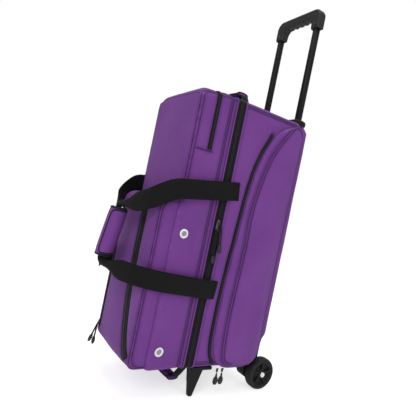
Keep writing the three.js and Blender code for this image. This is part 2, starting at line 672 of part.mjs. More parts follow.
function backCover() {
  const side = roundedRectangle(180, COVER_BOTTOM, COVER_BACK, COVER_TOP + 40, 14);
  const block = slab(side, 'x', -COVER_HALF_WIDTH, COVER_HALF_WIDTH, { bevel: 12 });
  const inside = roundedRectangle(170, COVER_BOTTOM - 20, COVER_BACK - 4, COVER_TOP + 60, 10);
  const hollow = slab(inside, 'x', -COVER_HALF_WIDTH + 6, COVER_HALF_WIDTH - 6);
  const front = box(-FAR_PAST, FAR_PAST, 0, TUB_BACK + GAP, 0, BAG_TOP + 100);
  const top = box(-FAR_PAST, FAR_PAST, 0, FAR_PAST, COVER_TOP, BAG_TOP + 100);
  return cut(block, hollow, front, top);
}

function pipe(outer, bore, bottom, top) {
  const profile = [[bore, bottom], [outer, bottom], [outer, top], [bore, top], [bore, bottom]];
  const geometry = new THREE.LatheGeometry(profile.map(([r, z]) => new THREE.Vector2(r, z)), ROUND_STEPS);
  geometry.rotateX(Math.PI / 2);
  return geometry.translate(ROD_X, ROD_Y, 0);
}

function bothRods(radius, from, to) {
  return [ROD_X, -ROD_X].map((x) => rod('z', x, ROD_Y, radius, from, to));
}

function tubeBrace() {
  const middle = (COVER_BOTTOM + COVER_TOP) / 2;
  const outline = roundedRectangle(-99, TUB_BACK + GAP, 99, COVER_BACK - 4.5, 4);
  const block = slab(outline, 'z', middle - BRACE_HALF_HEIGHT, middle + BRACE_HALF_HEIGHT);
  return cut(block, ...bothRods(TUBE_OUTER_RADIUS + GAP, middle - 20, middle + 20));
}

function handleBezel() {
  const outline = roundedRectangle(-104, 224, 104, 272, 12);
  const block = slab(outline, 'z', BAG_TOP + GAP, BAG_TOP + BEZEL_HEIGHT, { bevel: 4, bevelSteps: 1 });
  return cut(block, ...bothRods(ROD_RADIUS + 0.5, BAG_TOP - 5, BAG_TOP + BEZEL_HEIGHT + 5));
}

// The grip is one moulding: two sockets on the rods and a bar with finger grooves between them.
const SOCKET_HALF_WIDTH = 16;
const BUTTON_HALF_LENGTH = 17;
const BUTTON_HALF_DEPTH = 8;
const BUTTON_TOP = GRIP_TOP + 3;
const BUTTON_HEIGHT = 13;
const BUTTON_TRAVEL = 4;

function gripOutline() {
  const outer = ROD_X + SOCKET_HALF_WIDTH;
  const inner = ROD_X - SOCKET_HALF_WIDTH;
  const barBottom = GRIP_TOP - 31;
  const grooveLength = 22;
  const grooves = Array.from({ length: 25 }, (_, i) => {
    const x = inner - 15 - (i * (inner - 15)) / 12;
    return new THREE.Vector2(x, barBottom + 2 - 2 * Math.cos((2 * Math.PI * x) / grooveLength));
  });
  const shape = new THREE.Shape();
  shape.moveTo(outer, SOCKET_BOTTOM);
  shape.lineTo(outer, GRIP_TOP - 26);
  shape.absarc(outer - 26, GRIP_TOP - 26, 26, 0, Math.PI / 2, false);
  shape.lineTo(-outer + 26, GRIP_TOP);
  shape.absarc(-outer + 26, GRIP_TOP - 26, 26, Math.PI / 2, Math.PI, false);
  shape.lineTo(-outer, SOCKET_BOTTOM);
  shape.lineTo(-inner, SOCKET_BOTTOM);
  shape.quadraticCurveTo(-inner, barBottom, grooves.at(-1).x, grooves.at(-1).y);
  [...grooves].reverse().slice(1).forEach((point) => shape.lineTo(point.x, point.y));
  shape.quadraticCurveTo(inner, barBottom, inner, SOCKET_BOTTOM);
  return shape;
}

function grip() {
  const block = slab(gripOutline(), 'y', ROD_Y - GRIP_DEPTH / 2, ROD_Y + GRIP_DEPTH / 2, { bevel: 6, inset: 5 });
  const well = box(-BUTTON_HALF_LENGTH - 0.4, BUTTON_HALF_LENGTH + 0.4, ROD_Y - BUTTON_HALF_DEPTH - 0.4,
    ROD_Y + BUTTON_HALF_DEPTH + 0.4, BUTTON_TOP - BUTTON_HEIGHT - BUTTON_TRAVEL - 1, GRIP_TOP + 10);
  return cut(block, well, ...bothRods(ROD_RADIUS + GAP, SOCKET_BOTTOM - 5, ROD_TOP + GAP));
}

function gripButton() {
  const outline = roundedRectangle(-BUTTON_HALF_LENGTH, BUTTON_TOP - BUTTON_HEIGHT, BUTTON_HALF_LENGTH,
    BUTTON_TOP, [1, 1, 4, 4]);
  return slab(outline, 'y', ROD_Y - BUTTON_HALF_DEPTH, ROD_Y + BUTTON_HALF_DEPTH);
}

addPiece('back_cover', backCover(), purpleFabric);
addPair('outer_tube', pipe(TUBE_OUTER_RADIUS, TUBE_BORE_RADIUS, HOUSING_TOP + GAP, BAG_TOP), brightSteel);
addPiece('tube_brace', tubeBrace(), blackPlastic);
addPiece('handle_bezel', handleBezel(), blackPlastic);
addPair('rod', pipe(ROD_RADIUS, ROD_RADIUS - 1.5, ROD_BOTTOM, ROD_TOP), blackTube);
addPiece('grip', grip(), softGrip);
addPiece('grip_button', gripButton(), blackPlastic);

export default bag;
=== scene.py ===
# Visual model of a rolling bag for three bowling balls, built around its CAD frame.
# Lengths are millimetres in bag coordinates, as in the CAD source: x across the bag, y = 0 in the plane
# of the main zipper and growing towards the telescoping handle, z up from the floor.
import math
import bmesh
import bpy
import numpy as np
from mathutils import Matrix, Vector, noise
from mathutils.bvhtree import BVHTree


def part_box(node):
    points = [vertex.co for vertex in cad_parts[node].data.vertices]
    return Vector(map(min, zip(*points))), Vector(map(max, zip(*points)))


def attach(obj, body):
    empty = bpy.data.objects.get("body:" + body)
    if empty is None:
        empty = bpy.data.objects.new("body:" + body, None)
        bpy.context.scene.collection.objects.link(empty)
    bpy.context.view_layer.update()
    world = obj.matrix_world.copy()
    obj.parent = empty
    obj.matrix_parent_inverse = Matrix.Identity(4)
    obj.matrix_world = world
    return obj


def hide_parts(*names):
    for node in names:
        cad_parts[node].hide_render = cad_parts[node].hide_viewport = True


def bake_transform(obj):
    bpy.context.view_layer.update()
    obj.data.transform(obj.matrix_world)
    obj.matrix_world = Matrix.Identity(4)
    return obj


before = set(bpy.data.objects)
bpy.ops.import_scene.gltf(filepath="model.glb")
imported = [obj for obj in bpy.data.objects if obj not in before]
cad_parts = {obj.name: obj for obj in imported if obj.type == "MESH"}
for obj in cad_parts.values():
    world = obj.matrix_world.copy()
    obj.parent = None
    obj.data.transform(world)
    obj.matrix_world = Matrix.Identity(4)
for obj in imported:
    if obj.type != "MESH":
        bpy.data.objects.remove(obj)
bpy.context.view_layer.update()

MM = 0.001
ZIPPER_PLANE = (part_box("zip_tape_tub")[0].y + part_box("zip_tape_lid")[1].y) / 2
BAG_SHIFT = np.array([0.0, ZIPPER_PLANE, 0.0])


def to_metres(points):
    return np.asarray(points, float) * MM + BAG_SHIFT


def to_mm(points):
    return (np.asarray(points, float) - BAG_SHIFT) / MM


def box_mm(node):
    low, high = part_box(node)
    return to_mm(low), to_mm(high)


def centre_of(node):
    low, high = box_mm(node)
    return (low + high) / 2


TUB_LOW, TUB_HIGH = box_mm("tub_shell")
LID_LOW, LID_HIGH = box_mm("lid_shell")
POCKET_LOW, POCKET_HIGH = box_mm("front_pocket")
SIDE_LOW, SIDE_HIGH = box_mm("side_pocket")
HALF_WIDTH = LID_HIGH[0]
BOTTOM, TOP = TUB_LOW[2], TUB_HIGH[2]
EDGE_RADIUS = 14.0
TAPE_HALF_WIDTH = box_mm("zip_tape_tub")[1][1]

# ------------------------------------------------------------------ looks
PURPLE = (0.150, 0.040, 0.232)
DEEP_PURPLE = (0.088, 0.020, 0.150)
THREAD = (0.028, 0.008, 0.050)
BLACK = (0.005, 0.005, 0.0055)
SOFT_BLACK = (0.009, 0.009, 0.0095)


class Look:
    """A procedural material, built from a few kinds of node."""

    def __init__(self, name, **surface):
        self.material = bpy.data.materials.new(name)
        self.material.use_nodes = True
        self.tree = self.material.node_tree
        self.surface = self.tree.nodes["Principled BSDF"]
        for socket, value in surface.items():
            self.put(self.surface.inputs[socket.replace("_", " ")], value)
        self.position = self.add("ShaderNodeTexCoord").outputs["Object"]

    def put(self, socket, value):
        if isinstance(value, bpy.types.NodeSocket):
            self.tree.links.new(value, socket)
        elif isinstance(value, tuple) and len(value) == 3 and socket.type == "RGBA":
            socket.default_value = (*value, 1.0)
        else:
            socket.default_value = value

    def add(self, kind, inputs=(), **settings):
        made = self.tree.nodes.new(kind)
        for key, value in settings.items():
            setattr(made, key, value)
        for key, value in dict(inputs).items():
            self.put(made.inputs[key], value)
        return made

    def math(self, operation, first, second=0.0):
        return self.add("ShaderNodeMath", {0: first, 1: second}, operation=operation).outputs[0]

    def noise(self, scale, detail=2.0):
        inputs = {"Vector": self.position, "Scale": scale, "Detail": detail}
        return self.add("ShaderNodeTexNoise", inputs).outputs["Fac"]

    def attribute(self, name):
        return self.add("ShaderNodeAttribute", attribute_name=name).outputs["Fac"]

    def spread(self, value, low, high, out_low, out_high):
        inputs = {0: value, 1: low, 2: high, 3: out_low, 4: out_high}
        return self.add("ShaderNodeMapRange", inputs).outputs[0]

    def mixed(self, factor, first, second):
        mix = self.add("ShaderNodeMix", data_type="RGBA")
        for socket, value in zip((mix.inputs[0], mix.inputs[6], mix.inputs[7]), (factor, first, second)):
            self.put(socket, value)
        return mix.outputs[2]

    def waves(self, vector, pitches):
        """One sine wave along each axis of a vector, as a list of sockets."""
        parts = self.add("ShaderNodeSeparateXYZ", {0: vector}).outputs
        return [self.math("SINE", self.math("MULTIPLY", parts[axis], 2 * math.pi / (pitch * MM)))
                for axis, pitch in pitches.items()]

    def bump(self, height, distance, strength=1.0, normal=None):
        made = self.add("ShaderNodeBump", {"Height": height, "Distance": distance * MM, "Strength": strength})
        if normal is not None:
            self.put(made.inputs["Normal"], normal)
        return made.outputs["Normal"]

    def done(self, colour, roughness, normal):
        self.put(self.surface.inputs["Base Color"], colour)
        self.put(self.surface.inputs["Roughness"], roughness)
        self.put(self.surface.inputs["Normal"], normal)
        return self.material


def woven_look(name, colour, deep, pitch, roughness, sheen, crease=1.5):
    """Woven cloth: a fine plain weave, slow shade changes, painted shade darkening the cloth along the seam
    grooves, and paler worn edges.
    """
    look = Look(name, Sheen_Weight=sheen, Sheen_Roughness=0.5, Specular_IOR_Level=0.2)
    warp, weft, third = look.waves(look.position, {0: pitch, 1: pitch, 2: pitch * 0.92})
    weave = look.math("ADD", look.math("ADD", warp, weft), third)
    slubs = look.noise(420.0, 1.0)
    patches = look.noise(7.0, 3.0)
    patchy = look.spread(patches, 0.3, 0.7, 0.0, 0.34)
    shade = look.math("ADD", patchy, look.spread(slubs, 0.3, 0.7, 0.0, 0.16))
    shade = look.math("ADD", shade, look.spread(weave, -3.0, 3.0, 0.10, 0.0))
    plain = look.mixed(shade, colour, deep)
    # Painted shade: the seam attribute darkens the cloth to stand for the shadow in the seams' grooves.
    groove_shade_colour = tuple(c * 0.75 for c in deep)
    groove_shaded = look.mixed(look.math("MULTIPLY", look.attribute("seam"), 0.8), plain, groove_shade_colour)
    paler = tuple(min(1.0, c * 1.35 + 0.012) for c in colour)
    rubbed = look.spread(look.noise(55.0, 4.0), 0.42, 0.7, 0.0, 0.5)
    wear = look.math("MULTIPLY", look.attribute("worn"), rubbed)
    worn = look.mixed(wear, groove_shaded, paler)
    rumple = look.bump(look.noise(34.0, 3.0), crease, 0.35)
    threads = look.bump(weave, 0.16, 0.5, rumple)
    rough = look.spread(patches, 0.3, 0.7, roughness - 0.05, roughness + 0.06)
    return look.done(worn, rough, threads)


def webbing_look(name, colour, rib, across):
    """Woven strap: ribs along the strap, crossed by a fine herringbone, from the strap's own coordinates."""
    look = Look(name, Sheen_Weight=0.015, Sheen_Roughness=0.4, Specular_IOR_Level=0.14)
    strap = look.add("ShaderNodeUVMap", uv_map="strap").outputs[0]
    along, over = look.waves(strap, {0: rib, 1: across})
    crossing = look.math("MULTIPLY", along, look.math("SIGN", over))
    weave = look.math("ADD", look.math("ABSOLUTE", over), crossing)
    fuzz = look.noise(260.0, 3.0)
    paler = tuple(c * 2.1 for c in colour)
    dusty = look.spread(fuzz, 0.3, 0.7, 0.4, 1.0)
    shade = look.math("MULTIPLY", look.spread(weave, -1.0, 2.0, 0.0, 0.75), dusty)
    bumped = look.bump(weave, 0.22, 0.8, look.bump(fuzz, 0.3, 0.3))
    return look.done(look.mixed(shade, colour, paler), look.spread(fuzz, 0.3, 0.7, 0.6, 0.8), bumped)


def moulded_look(name, colour, roughness, grain, bump_depth, shine=0.5):
    """Moulded plastic or rubber: a fine grain, smudges, and edges rubbed paler."""
    look = Look(name, Specular_IOR_Level=shine)
    grains = look.noise(grain, 2.0)
    smudges = look.noise(16.0, 4.0)
    edges = look.spread(look.add("ShaderNodeNewGeometry").outputs["Pointiness"], 0.51, 0.58, 0.0, 0.55)
    paler = tuple(c * 2.4 + 0.004 for c in colour)
    tone = look.mixed(look.math("MULTIPLY", edges, look.spread(smudges, 0.35, 0.65, 0.3, 1.0)), colour, paler)
    speckled = look.mixed(look.spread(grains, 0.35, 0.75, 0.0, 0.25), tone, paler)
    rough = look.spread(smudges, 0.3, 0.7, roughness - 0.06, roughness + 0.10)
    return look.done(speckled, rough, look.bump(grains, bump_depth, 0.6))


def metal_look(name, colour, roughness):
    look = Look(name, Metallic=1.0)
    scratches = look.noise(90.0, 5.0)
    tone = look.mixed(look.spread(scratches, 0.3, 0.8, 0.0, 0.6), colour, tuple(c * 0.62 for c in colour))
    rough = look.spread(look.noise(35.0, 3.0), 0.3, 0.7, roughness, roughness + 0.14)
    return look.done(tone, rough, look.bump(scratches, 0.05, 0.4))


def floor_look():
    look = Look("pale_floor", Emission_Color=(1.0, 1.0, 1.0), Emission_Strength=0.64, Specular_IOR_Level=0.0)
    cloud = look.noise(1.5, 2.0)
    pale = look.mixed(cloud, (0.50, 0.50, 0.50), (0.53, 0.53, 0.53))
    return look.done(pale, 0.9, look.bump(look.noise(120.0), 0.05, 0.1))


purple = woven_look("purple_polyester", PURPLE, DEEP_PURPLE, 1.1, 0.72, 0.03)
lining = woven_look("black_lining_cloth", SOFT_BLACK, BLACK, 0.9, 0.8, 0.02)
foam_look = woven_look("grey_foam", (0.045, 0.045, 0.05), SOFT_BLACK, 2.2, 0.92, 0.05, 3.0)
tape_cloth = webbing_look("zipper_tape_cloth", BLACK, 1.2, 1.0)
webbing_cloth = webbing_look("black_webbing_cloth", (0.0022, 0.0022, 0.0023), 2.4, 3.4)
binding_cloth = woven_look("black_binding_cloth", (0.007, 0.007, 0.0075), BLACK, 0.8, 0.7, 0.02, 0.6)
thread_look = woven_look("purple_thread", THREAD, BLACK, 0.5, 0.6, 0.02, 0.2)
black_thread = woven_look("black_thread", (0.014, 0.014, 0.015), BLACK, 0.5, 0.6, 0.02, 0.2)
coil_look = moulded_look("zipper_coil_nylon", (0.009, 0.009, 0.010), 0.42, 600.0, 0.05, 0.3)
plastic = moulded_look("black_moulded_plastic", (0.005, 0.005, 0.0055), 0.5, 900.0, 0.05, 0.14)
rubber = moulded_look("soft_black_grip_rubber", (0.007, 0.007, 0.0075), 0.55, 500.0, 0.12, 0.35)
tyre_rubber = moulded_look("tyre_rubber", (0.006, 0.006, 0.0065), 0.7, 300.0, 0.2, 0.25)
anodised = moulded_look("black_anodised_tube", (0.0045, 0.0045, 0.005), 0.4, 1500.0, 0.004, 0.1)
tan_gauze = woven_look("tan_gauze", (0.20, 0.175, 0.14), (0.12, 0.105, 0.08), 0.7, 0.7, 0.05)
pale_enamel = moulded_look("pale_enamel", (0.46, 0.46, 0.48), 0.3, 800.0, 0.02)
grey_wire = moulded_look("grey_wire", (0.24, 0.225, 0.20), 0.4, 800.0, 0.02)
gunmetal = metal_look("gunmetal", (0.085, 0.085, 0.09), 0.34)
bright = metal_look("bright_steel", (0.66, 0.66, 0.68), 0.2)


# ------------------------------------------------------------------ curves and meshes
def spline(points, per_span=10):
    """A smooth curve through the points, the same one that the CAD source draws."""
    points = np.array(points, float)
    last = len(points) - 1
    out = []
    for i in range(last):
        p0, p1, p2, p3 = (points[max(0, i - 1)], points[i], points[i + 1], points[min(last, i + 2)])
        v0, v1 = (p2 - p0) / 2, (p3 - p1) / 2
        for t in np.linspace(0, 1, per_span, endpoint=False):
            cubed = (2 * p1 - 2 * p2 + v0 + v1) * t ** 3
            squared = (-3 * p1 + 3 * p2 - 2 * v0 - v1) * t ** 2
            out.append(cubed + squared + v0 * t + p1)
    return np.array(out + [points[last]])


def lengths_along(path):
    return np.concatenate([[0.0], np.cumsum(np.linalg.norm(np.diff(path, axis=0), axis=1))])


def resample(path, step):
    path = np.asarray(path, float)
    along = lengths_along(path)
    count = max(2, int(round(along[-1] / step)) + 1)
    places = np.linspace(0, along[-1], count)
    return np.stack([np.interp(places, along, path[:, k]) for k in range(path.shape[1])], axis=1)


def unit(vectors):
    vectors = np.asarray(vectors, float)
    return vectors / np.maximum(np.linalg.norm(vectors, axis=-1, keepdims=True), 1e-9)


def tangents(path):
    return unit(np.gradient(path, axis=0))


def smooth_step(value, low, high):
    t = np.clip((np.asarray(value, float) - low) / (high - low), 0, 1)
    return t * t * (3 - 2 * t)


def rounded_path(corners, radius, steps=6):
    """A polyline through the corners, with every inner corner rounded to the radius."""
    corners = [np.array(c, float) for c in corners]
    out = [corners[0]]
    for before, here, after in zip(corners, corners[1:], corners[2:]):
        start = here + unit(before - here) * radius
        end = here + unit(after - here) * radius
        for t in np.linspace(0, 1, steps):
            out.append((1 - t) ** 2 * start + 2 * t * (1 - t) * here + t * t * end)
    return np.array(out + [corners[-1]])


def new_object(name, points, faces, looks, uv=None, smooth=True, attributes=None):
    mesh = bpy.data.meshes.new(name)
    mesh.from_pydata(to_metres(points).tolist(), [], [list(map(int, f)) for f in faces])
    made = bmesh.new()
    made.from_mesh(mesh)
    bmesh.ops.recalc_face_normals(made, faces=made.faces)
    made.to_mesh(mesh)
    made.free()
    for look in looks if isinstance(looks, list) else [looks]:
        mesh.materials.append(look)
    mesh.polygons.foreach_set("use_smooth", [smooth] * len(mesh.polygons))
    if uv is not None:
        corners = np.zeros(len(mesh.loops), np.int32)
        mesh.loops.foreach_get("vertex_index", corners)
        layer = mesh.uv_layers.new(name="strap")
        layer.data.foreach_set("uv", (np.asarray(uv) * MM)[corners].astype(np.float32).ravel())
    for key, values in (attributes or {}).items():
        layer = mesh.attributes.new(key, "FLOAT", "POINT")
        layer.data.foreach_set("value", np.asarray(values, np.float32))
    made = bpy.data.objects.new(name, mesh)
    bpy.context.scene.collection.objects.link(made)
    return made


def place(made, slot, body, *nodes):
    """The piece rides on its body and stands for the CAD nodes. The slot is not used."""
    if body:
        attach(made, body)
    if nodes:
        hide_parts(*nodes)
    return made


def coordinates(made, kind="co"):
    """The vertices' places in metres, or their normals when kind is normal."""
    flat = np.zeros(len(made.data.vertices) * 3, np.float32)
    made.data.vertices.foreach_get(kind, flat)
    return flat.reshape(-1, 3).astype(float)


def set_coordinates(made, points):
    made.data.vertices.foreach_set("co", np.asarray(points, np.float32).ravel())
    made.data.update()


def set_attribute(made, name, values):
    layer = made.data.attributes.get(name) or made.data.attributes.new(name, "FLOAT", "POINT")
    layer.data.foreach_set("value", np.asarray(values, np.float32))


def bake_modifiers(made):
    """Turns the modifiers into plain mesh."""
    bpy.context.view_layer.update()
    evaluated = made.evaluated_get(bpy.context.evaluated_depsgraph_get())
    fresh = bpy.data.meshes.new_from_object(evaluated)
    made.modifiers.clear()
    made.data = fresh
    fresh.polygons.foreach_set("use_smooth", [True] * len(fresh.polygons))
    return made


def surface_tree(made):
    return BVHTree.FromPolygons([Vector(p) for p in to_mm(coordinates(made))],
                                [p.vertices[:] for p in made.data.polygons])


def distance_to_path(points, path):
    near = np.full(len(points), 1e9)
    for a, b in zip(path[:-1], path[1:]):
        along = b - a
        t = np.clip((points - a) @ along / max(along @ along, 1e-9), 0, 1)
        near = np.minimum(near, np.linalg.norm(points - a - t[:, None] * along, axis=1))
    return near


def perlin(points, size, seed):
    """Smooth noise at each point. Size is the length of its waves along the three axes."""
    return np.array([noise.noise(Vector(p)) for p in points / np.array(size) + [seed, 0, 0]])


def loft(name, rings, look, uv=None, closed=False):
    """A closed skin over rings of points, capped at both ends unless the rings close on themselves."""
    rings = np.asarray(rings, float)
    count, size, _ = rings.shape
    faces = []
    for i in range(count if closed else count - 1):
        k = (i + 1) % count
        for j in range(size):
            m = (j + 1) % size
            faces.append((i * size + j, i * size + m, k * size + m, k * size + j))
    if not closed:
        faces.append(tuple(range(size)))
        faces.append(tuple((count - 1) * size + j for j in range(size)))
    return new_object(name, rings.reshape(-1, 3), faces, look, uv)


def ring_section(half_a, half_b, sides=12, power=2.0):
    """A rounded section, from an ellipse at power 2 towards a rectangle at higher powers."""
    angles = np.linspace(0, 2 * math.pi, sides, endpoint=False)
    halves = ((half_a, np.cos(angles)), (half_b, np.sin(angles)))
    return np.stack([half * np.sign(turn) * np.abs(turn) ** (2 / power) for half, turn in halves], 1)


def circle(radius, sides):
    """Points on a circle round the origin."""
    angles = np.linspace(0, 2 * math.pi, sides, endpoint=False)
    return [(radius * math.cos(a), radius * math.sin(a)) for a in angles]


def tube(name, path, radius, look, sides=10, closed=False):
    """A round tube along a path."""
    path = np.asarray(path, float)
    along = tangents(path)
    if closed:
        along = unit(np.roll(path, -1, 0) - np.roll(path, 1, 0))
    side = unit(np.cross(along[0], [0.31, 0.52, 0.79]))
    rings = []
    for centre, t in zip(path, along):
        side = unit(side - t * (side @ t))
        up = np.cross(t, side)
        rings.append([centre + side * a + up * b for a, b in ring_section(radius, radius, sides)])
    return loft(name, rings, look, closed=closed)


def strap(name, path, outward, width, thickness, look, bow=0.0, columns=9):
    """Flat webbing along a path: outward is its face direction, width and bow may change along it."""
    path = np.asarray(path, float)
    along = tangents(path)
    outward = unit(np.broadcast_to(outward, path.shape) - along * np.sum(along * outward, 1, keepdims=True))
    across = np.cross(along, outward)
    width = np.broadcast_to(width, len(path))
    bow = np.broadcast_to(bow, len(path))
    half = np.linspace(-1, 1, columns)
    selvedge = 1.0 - 0.55 * np.abs(half) ** 8
    lower, upper = [], []
    for p, o, s, w, b in zip(path, outward, across, width, bow):
        middle = p + s * (half * w / 2)[:, None] + o * (b * (1 - half ** 2))[:, None]
        rim = o * (thickness / 2 * selvedge)[:, None]
        upper.append(middle + rim)
        lower.append((middle - rim)[::-1])
    rings = np.concatenate([np.array(upper), np.array(lower)], axis=1)
    places = lengths_along(path)
    cross = np.concatenate([half, half[::-1]])
    uv = [(a, c * w / 2) for a, w in zip(places, width) for c in cross]
    return loft(name, rings, look, uv)


def instances(name, unit_points, unit_faces, centres, axes, look, smooth=False):
    """Copies of one small shape at many places, as one mesh. Axes are three arrays of directions."""
    unit_points = np.asarray(unit_points, float)
    points = (np.asarray(centres)[:, None, :] + sum(
        unit_points[None, :, k, None] * np.asarray(axes[k])[:, None, :] for k in range(3))).reshape(-1, 3)
    count = len(unit_points)
    faces = [[v + i * count for v in f] for i in range(len(centres)) for f in unit_faces]
    return new_object(name, points, faces, look, smooth=smooth)


THREAD_POINTS = [(-1, 0, -0.3), (-0.5, -0.6, 0), (-0.5, 0, 0.6), (-0.5, 0.6, 0), (-0.5, 0, -0.5),
                 (0.5, -0.6, 0), (0.5, 0, 0.6), (0.5, 0.6, 0), (0.5, 0, -0.5), (1, 0, -0.3)]
THREAD_FACES = [(0, 1, 2), (0, 2, 3), (0, 3, 4), (0, 4, 1),
                (1, 5, 6, 2), (2, 6, 7, 3), (3, 7, 8, 4), (4, 8, 5, 1),
                (5, 9, 6), (6, 9, 7), (7, 9, 8), (8, 9, 5)]
TOOTH_POINTS = [(a * k, b * k, c) for c, k in ((0, 1), (0.7, 0.95), (1, 0.6)) for a, b in
                ((-1, -1), (1, -1), (1, 1), (-1, 1))]
TOOTH_FACES = [(3, 2, 1, 0), (8, 9, 10, 11)] + [
    (base + i, base + (i + 1) % 4, base + 4 + (i + 1) % 4, base + 4 + i) for base in (0, 4) for i in range(4)]


def frames_on(tree, path, step, lift):
    """Points every step along a path laid on a surface, with directions along, across and outward."""
    points, normals = [], []
    for p in resample(path, step):
        nearest, normal, _, _ = tree.find_nearest(Vector(p))
        points.append(np.array(nearest))
        normals.append(np.array(normal))
    points = np.array(points)
    normals = np.array(normals)
    for _ in range(2):
        normals[1:-1] = (normals[:-2] + 2 * normals[1:-1] + normals[2:]) / 4
    normals = unit(normals)
    along = tangents(points)
    across = unit(np.cross(normals, along))
    return points + normals * lift, along, across, normals


STITCH_PITCH = 3.6
STITCH_HALF_LENGTH = STITCH_PITCH * 0.42
COIL_PITCH = 3.0
ZIP_EDGE = 1.6


def sew(name, centres, along, across, out, look, slot, body):
    """One stitch at each centre. The lengths of across and out are its half width and its height."""
    axes = (along * STITCH_HALF_LENGTH, across, out)
    return place(instances(name, THREAD_POINTS, THREAD_FACES, centres, axes, look, True), slot, body)


def stitches(name, tree, paths, body):
    """Rows of thread, one stitch after another, laid on the surface along each path, each over a thin dark
    strip of painted shadow.
    """
    for index, path in enumerate(paths):
        spine, _, _, out = frames_on(tree, path, 5.0, 0.05)
        # Painted shadow: a thin strip in the thread's dark colour stands for the shadow in the seam's crease.
        fold = strap(f"{name}_fold_{index}", spine, out, 1.7, 0.5, thread_look, columns=3)
        place(fold, "purple_fabric", body)
    rows = [frames_on(tree, path, STITCH_PITCH, 0.35) for path in paths]
    centres, along, across, out = (np.concatenate([r[k] for r in rows]) for k in range(4))
    sew(name, centres, along, across * 0.55, out * 0.6, thread_look, "purple_fabric", body)


def coil(name, centres, along, across, out, offset, body):
    """One half of a zipper's teeth, standing at one side of the line."""
    axes = (along * COIL_PITCH * 0.27, across * 1.45, out * 1.6)
    row = instances(name, TOOTH_POINTS, TOOTH_FACES, centres + across * offset, axes, coil_look)
    place(row, "zipper_tape", body)


def zipper(name, tree, path, width, body, *nodes):
    """A closed zipper sewn on a surface: its tape, both rows of teeth, and a row of thread at each edge."""
    centres, along, across, out = frames_on(tree, path, 6.0, 0.9)
    tape = strap(name + "_tape", centres, out, width, 1.5, tape_cloth)
    place(tape, "zipper_tape", body, *nodes)
    centres, along, across, out = frames_on(tree, path, COIL_PITCH, 1.5)
    for letter, side, shift in (("a", -1, 0.0), ("b", 1, COIL_PITCH / 2)):
        coil(f"{name}_coil_{letter}", centres + along * shift, along, across, out, side * 1.5, body)
    edge = width / 2 - ZIP_EDGE
    centres, along, across, out = frames_on(tree, path, STITCH_PITCH, 1.7)
    both = np.concatenate([centres + across * edge, centres - across * edge])
    along, across, out = (np.concatenate([a, a]) for a in (along, across, out))
    sew(name + "_thread", both, along, across * 0.45, out * 0.5, black_thread, "zipper_tape", body)


# ------------------------------------------------------------------ rounded blocks
class Block:
    """A block whose side view has four corner radii and whose edges along its two x faces are rounded."""

    def __init__(self, half_width, low, high, radii, edge):
        self.half_width, self.low, self.high, self.radii, self.edge = half_width, low, high, radii, edge

    def distance(self, p):
        centre = [(a + b) / 2 for a, b in zip(self.low, self.high)]
        half = [(b - a) / 2 for a, b in zip(self.low, self.high)]
        y, z = p[:, 1] - centre[0], p[:, 2] - centre[1]
        a, b, c, d = self.radii
        radius = np.where(z < 0, np.where(y < 0, a, b), np.where(y < 0, d, c))
        qy, qz = np.abs(y) - half[0] + radius, np.abs(z) - half[1] + radius
        side = np.minimum(np.maximum(qy, qz), 0) + np.hypot(np.maximum(qy, 0), np.maximum(qz, 0)) - radius
        u, v = side + self.edge, np.abs(p[:, 0]) - (self.half_width - self.edge)
        return np.minimum(np.maximum(u, v), 0) + np.hypot(np.maximum(u, 0), np.maximum(v, 0)) - self.edge

    def normal(self, p):
        steps = np.eye(3) * 0.05
        return unit(np.stack([self.distance(p + s) - self.distance(p - s) for s in steps], axis=1))

    def projected(self, p):
        for _ in range(8):
            p = p - self.normal(p) * self.distance(p)[:, None]
        return p

    def skin(self, lines, sides):
        """Points and faces of the wanted sides, on a lattice of lines that is pressed on to the block."""
        keys, faces = {}, []
        for side in sides:
            axis = "xyz".index(side[1])
            fixed = len(lines[axis]) - 1 if side[0] == "+" else 0
            b, c = [k for k in range(3) if k != axis]
            for i in range(len(lines[b]) - 1):
                for j in range(len(lines[c]) - 1):
                    corner = []
                    for di, dj in ((0, 0), (1, 0), (1, 1), (0, 1)):
                        key = [0, 0, 0]
                        key[axis], key[b], key[c] = fixed, i + di, j + dj
                        corner.append(keys.setdefault(tuple(key), len(keys)))
                    faces.append(corner)
        points = np.array([[lines[k][key[k]] for k in range(3)] for key in keys])
        return self.projected(points), faces


def even_lines(low, high, step):
    """Lattice lines about a step apart, from low to high."""
    return np.linspace(low, high, max(1, round((high - low) / step)) + 1)


SEAM_DEPTH = 1.5
SEAM_WIDTH = 2.6
SEAM_SHADE_WIDTH = 4.5
SWELL_REACH = 26.0
PUCKER_SIZE = (9, 9, 11)
PUCKER_REACH = 10


def distance_to_seams(points, seams):
    """The distance to the nearest seam. A seam is a path, or a path with the half width that it covers."""
    near = np.full(len(points), 1e9)
    for seam in seams:
        path, half_width = seam if isinstance(seam, tuple) else (seam, 0.0)
        near = np.minimum(near, np.maximum(0, distance_to_path(points, path) - half_width))
    return near


def clear_of(near, reach):
    """Grows from 0 at a seam to 1 well away from it."""
    return 1 - np.exp(-near / reach)


def groove(near):
    return SEAM_DEPTH * np.exp(-(near / SEAM_WIDTH) ** 2)


def puckers(points, near, depth, seed):
    """The short wrinkles that a seam draws in the cloth beside it."""
    return depth * perlin(points, PUCKER_SIZE, seed) * np.exp(-near / PUCKER_REACH)


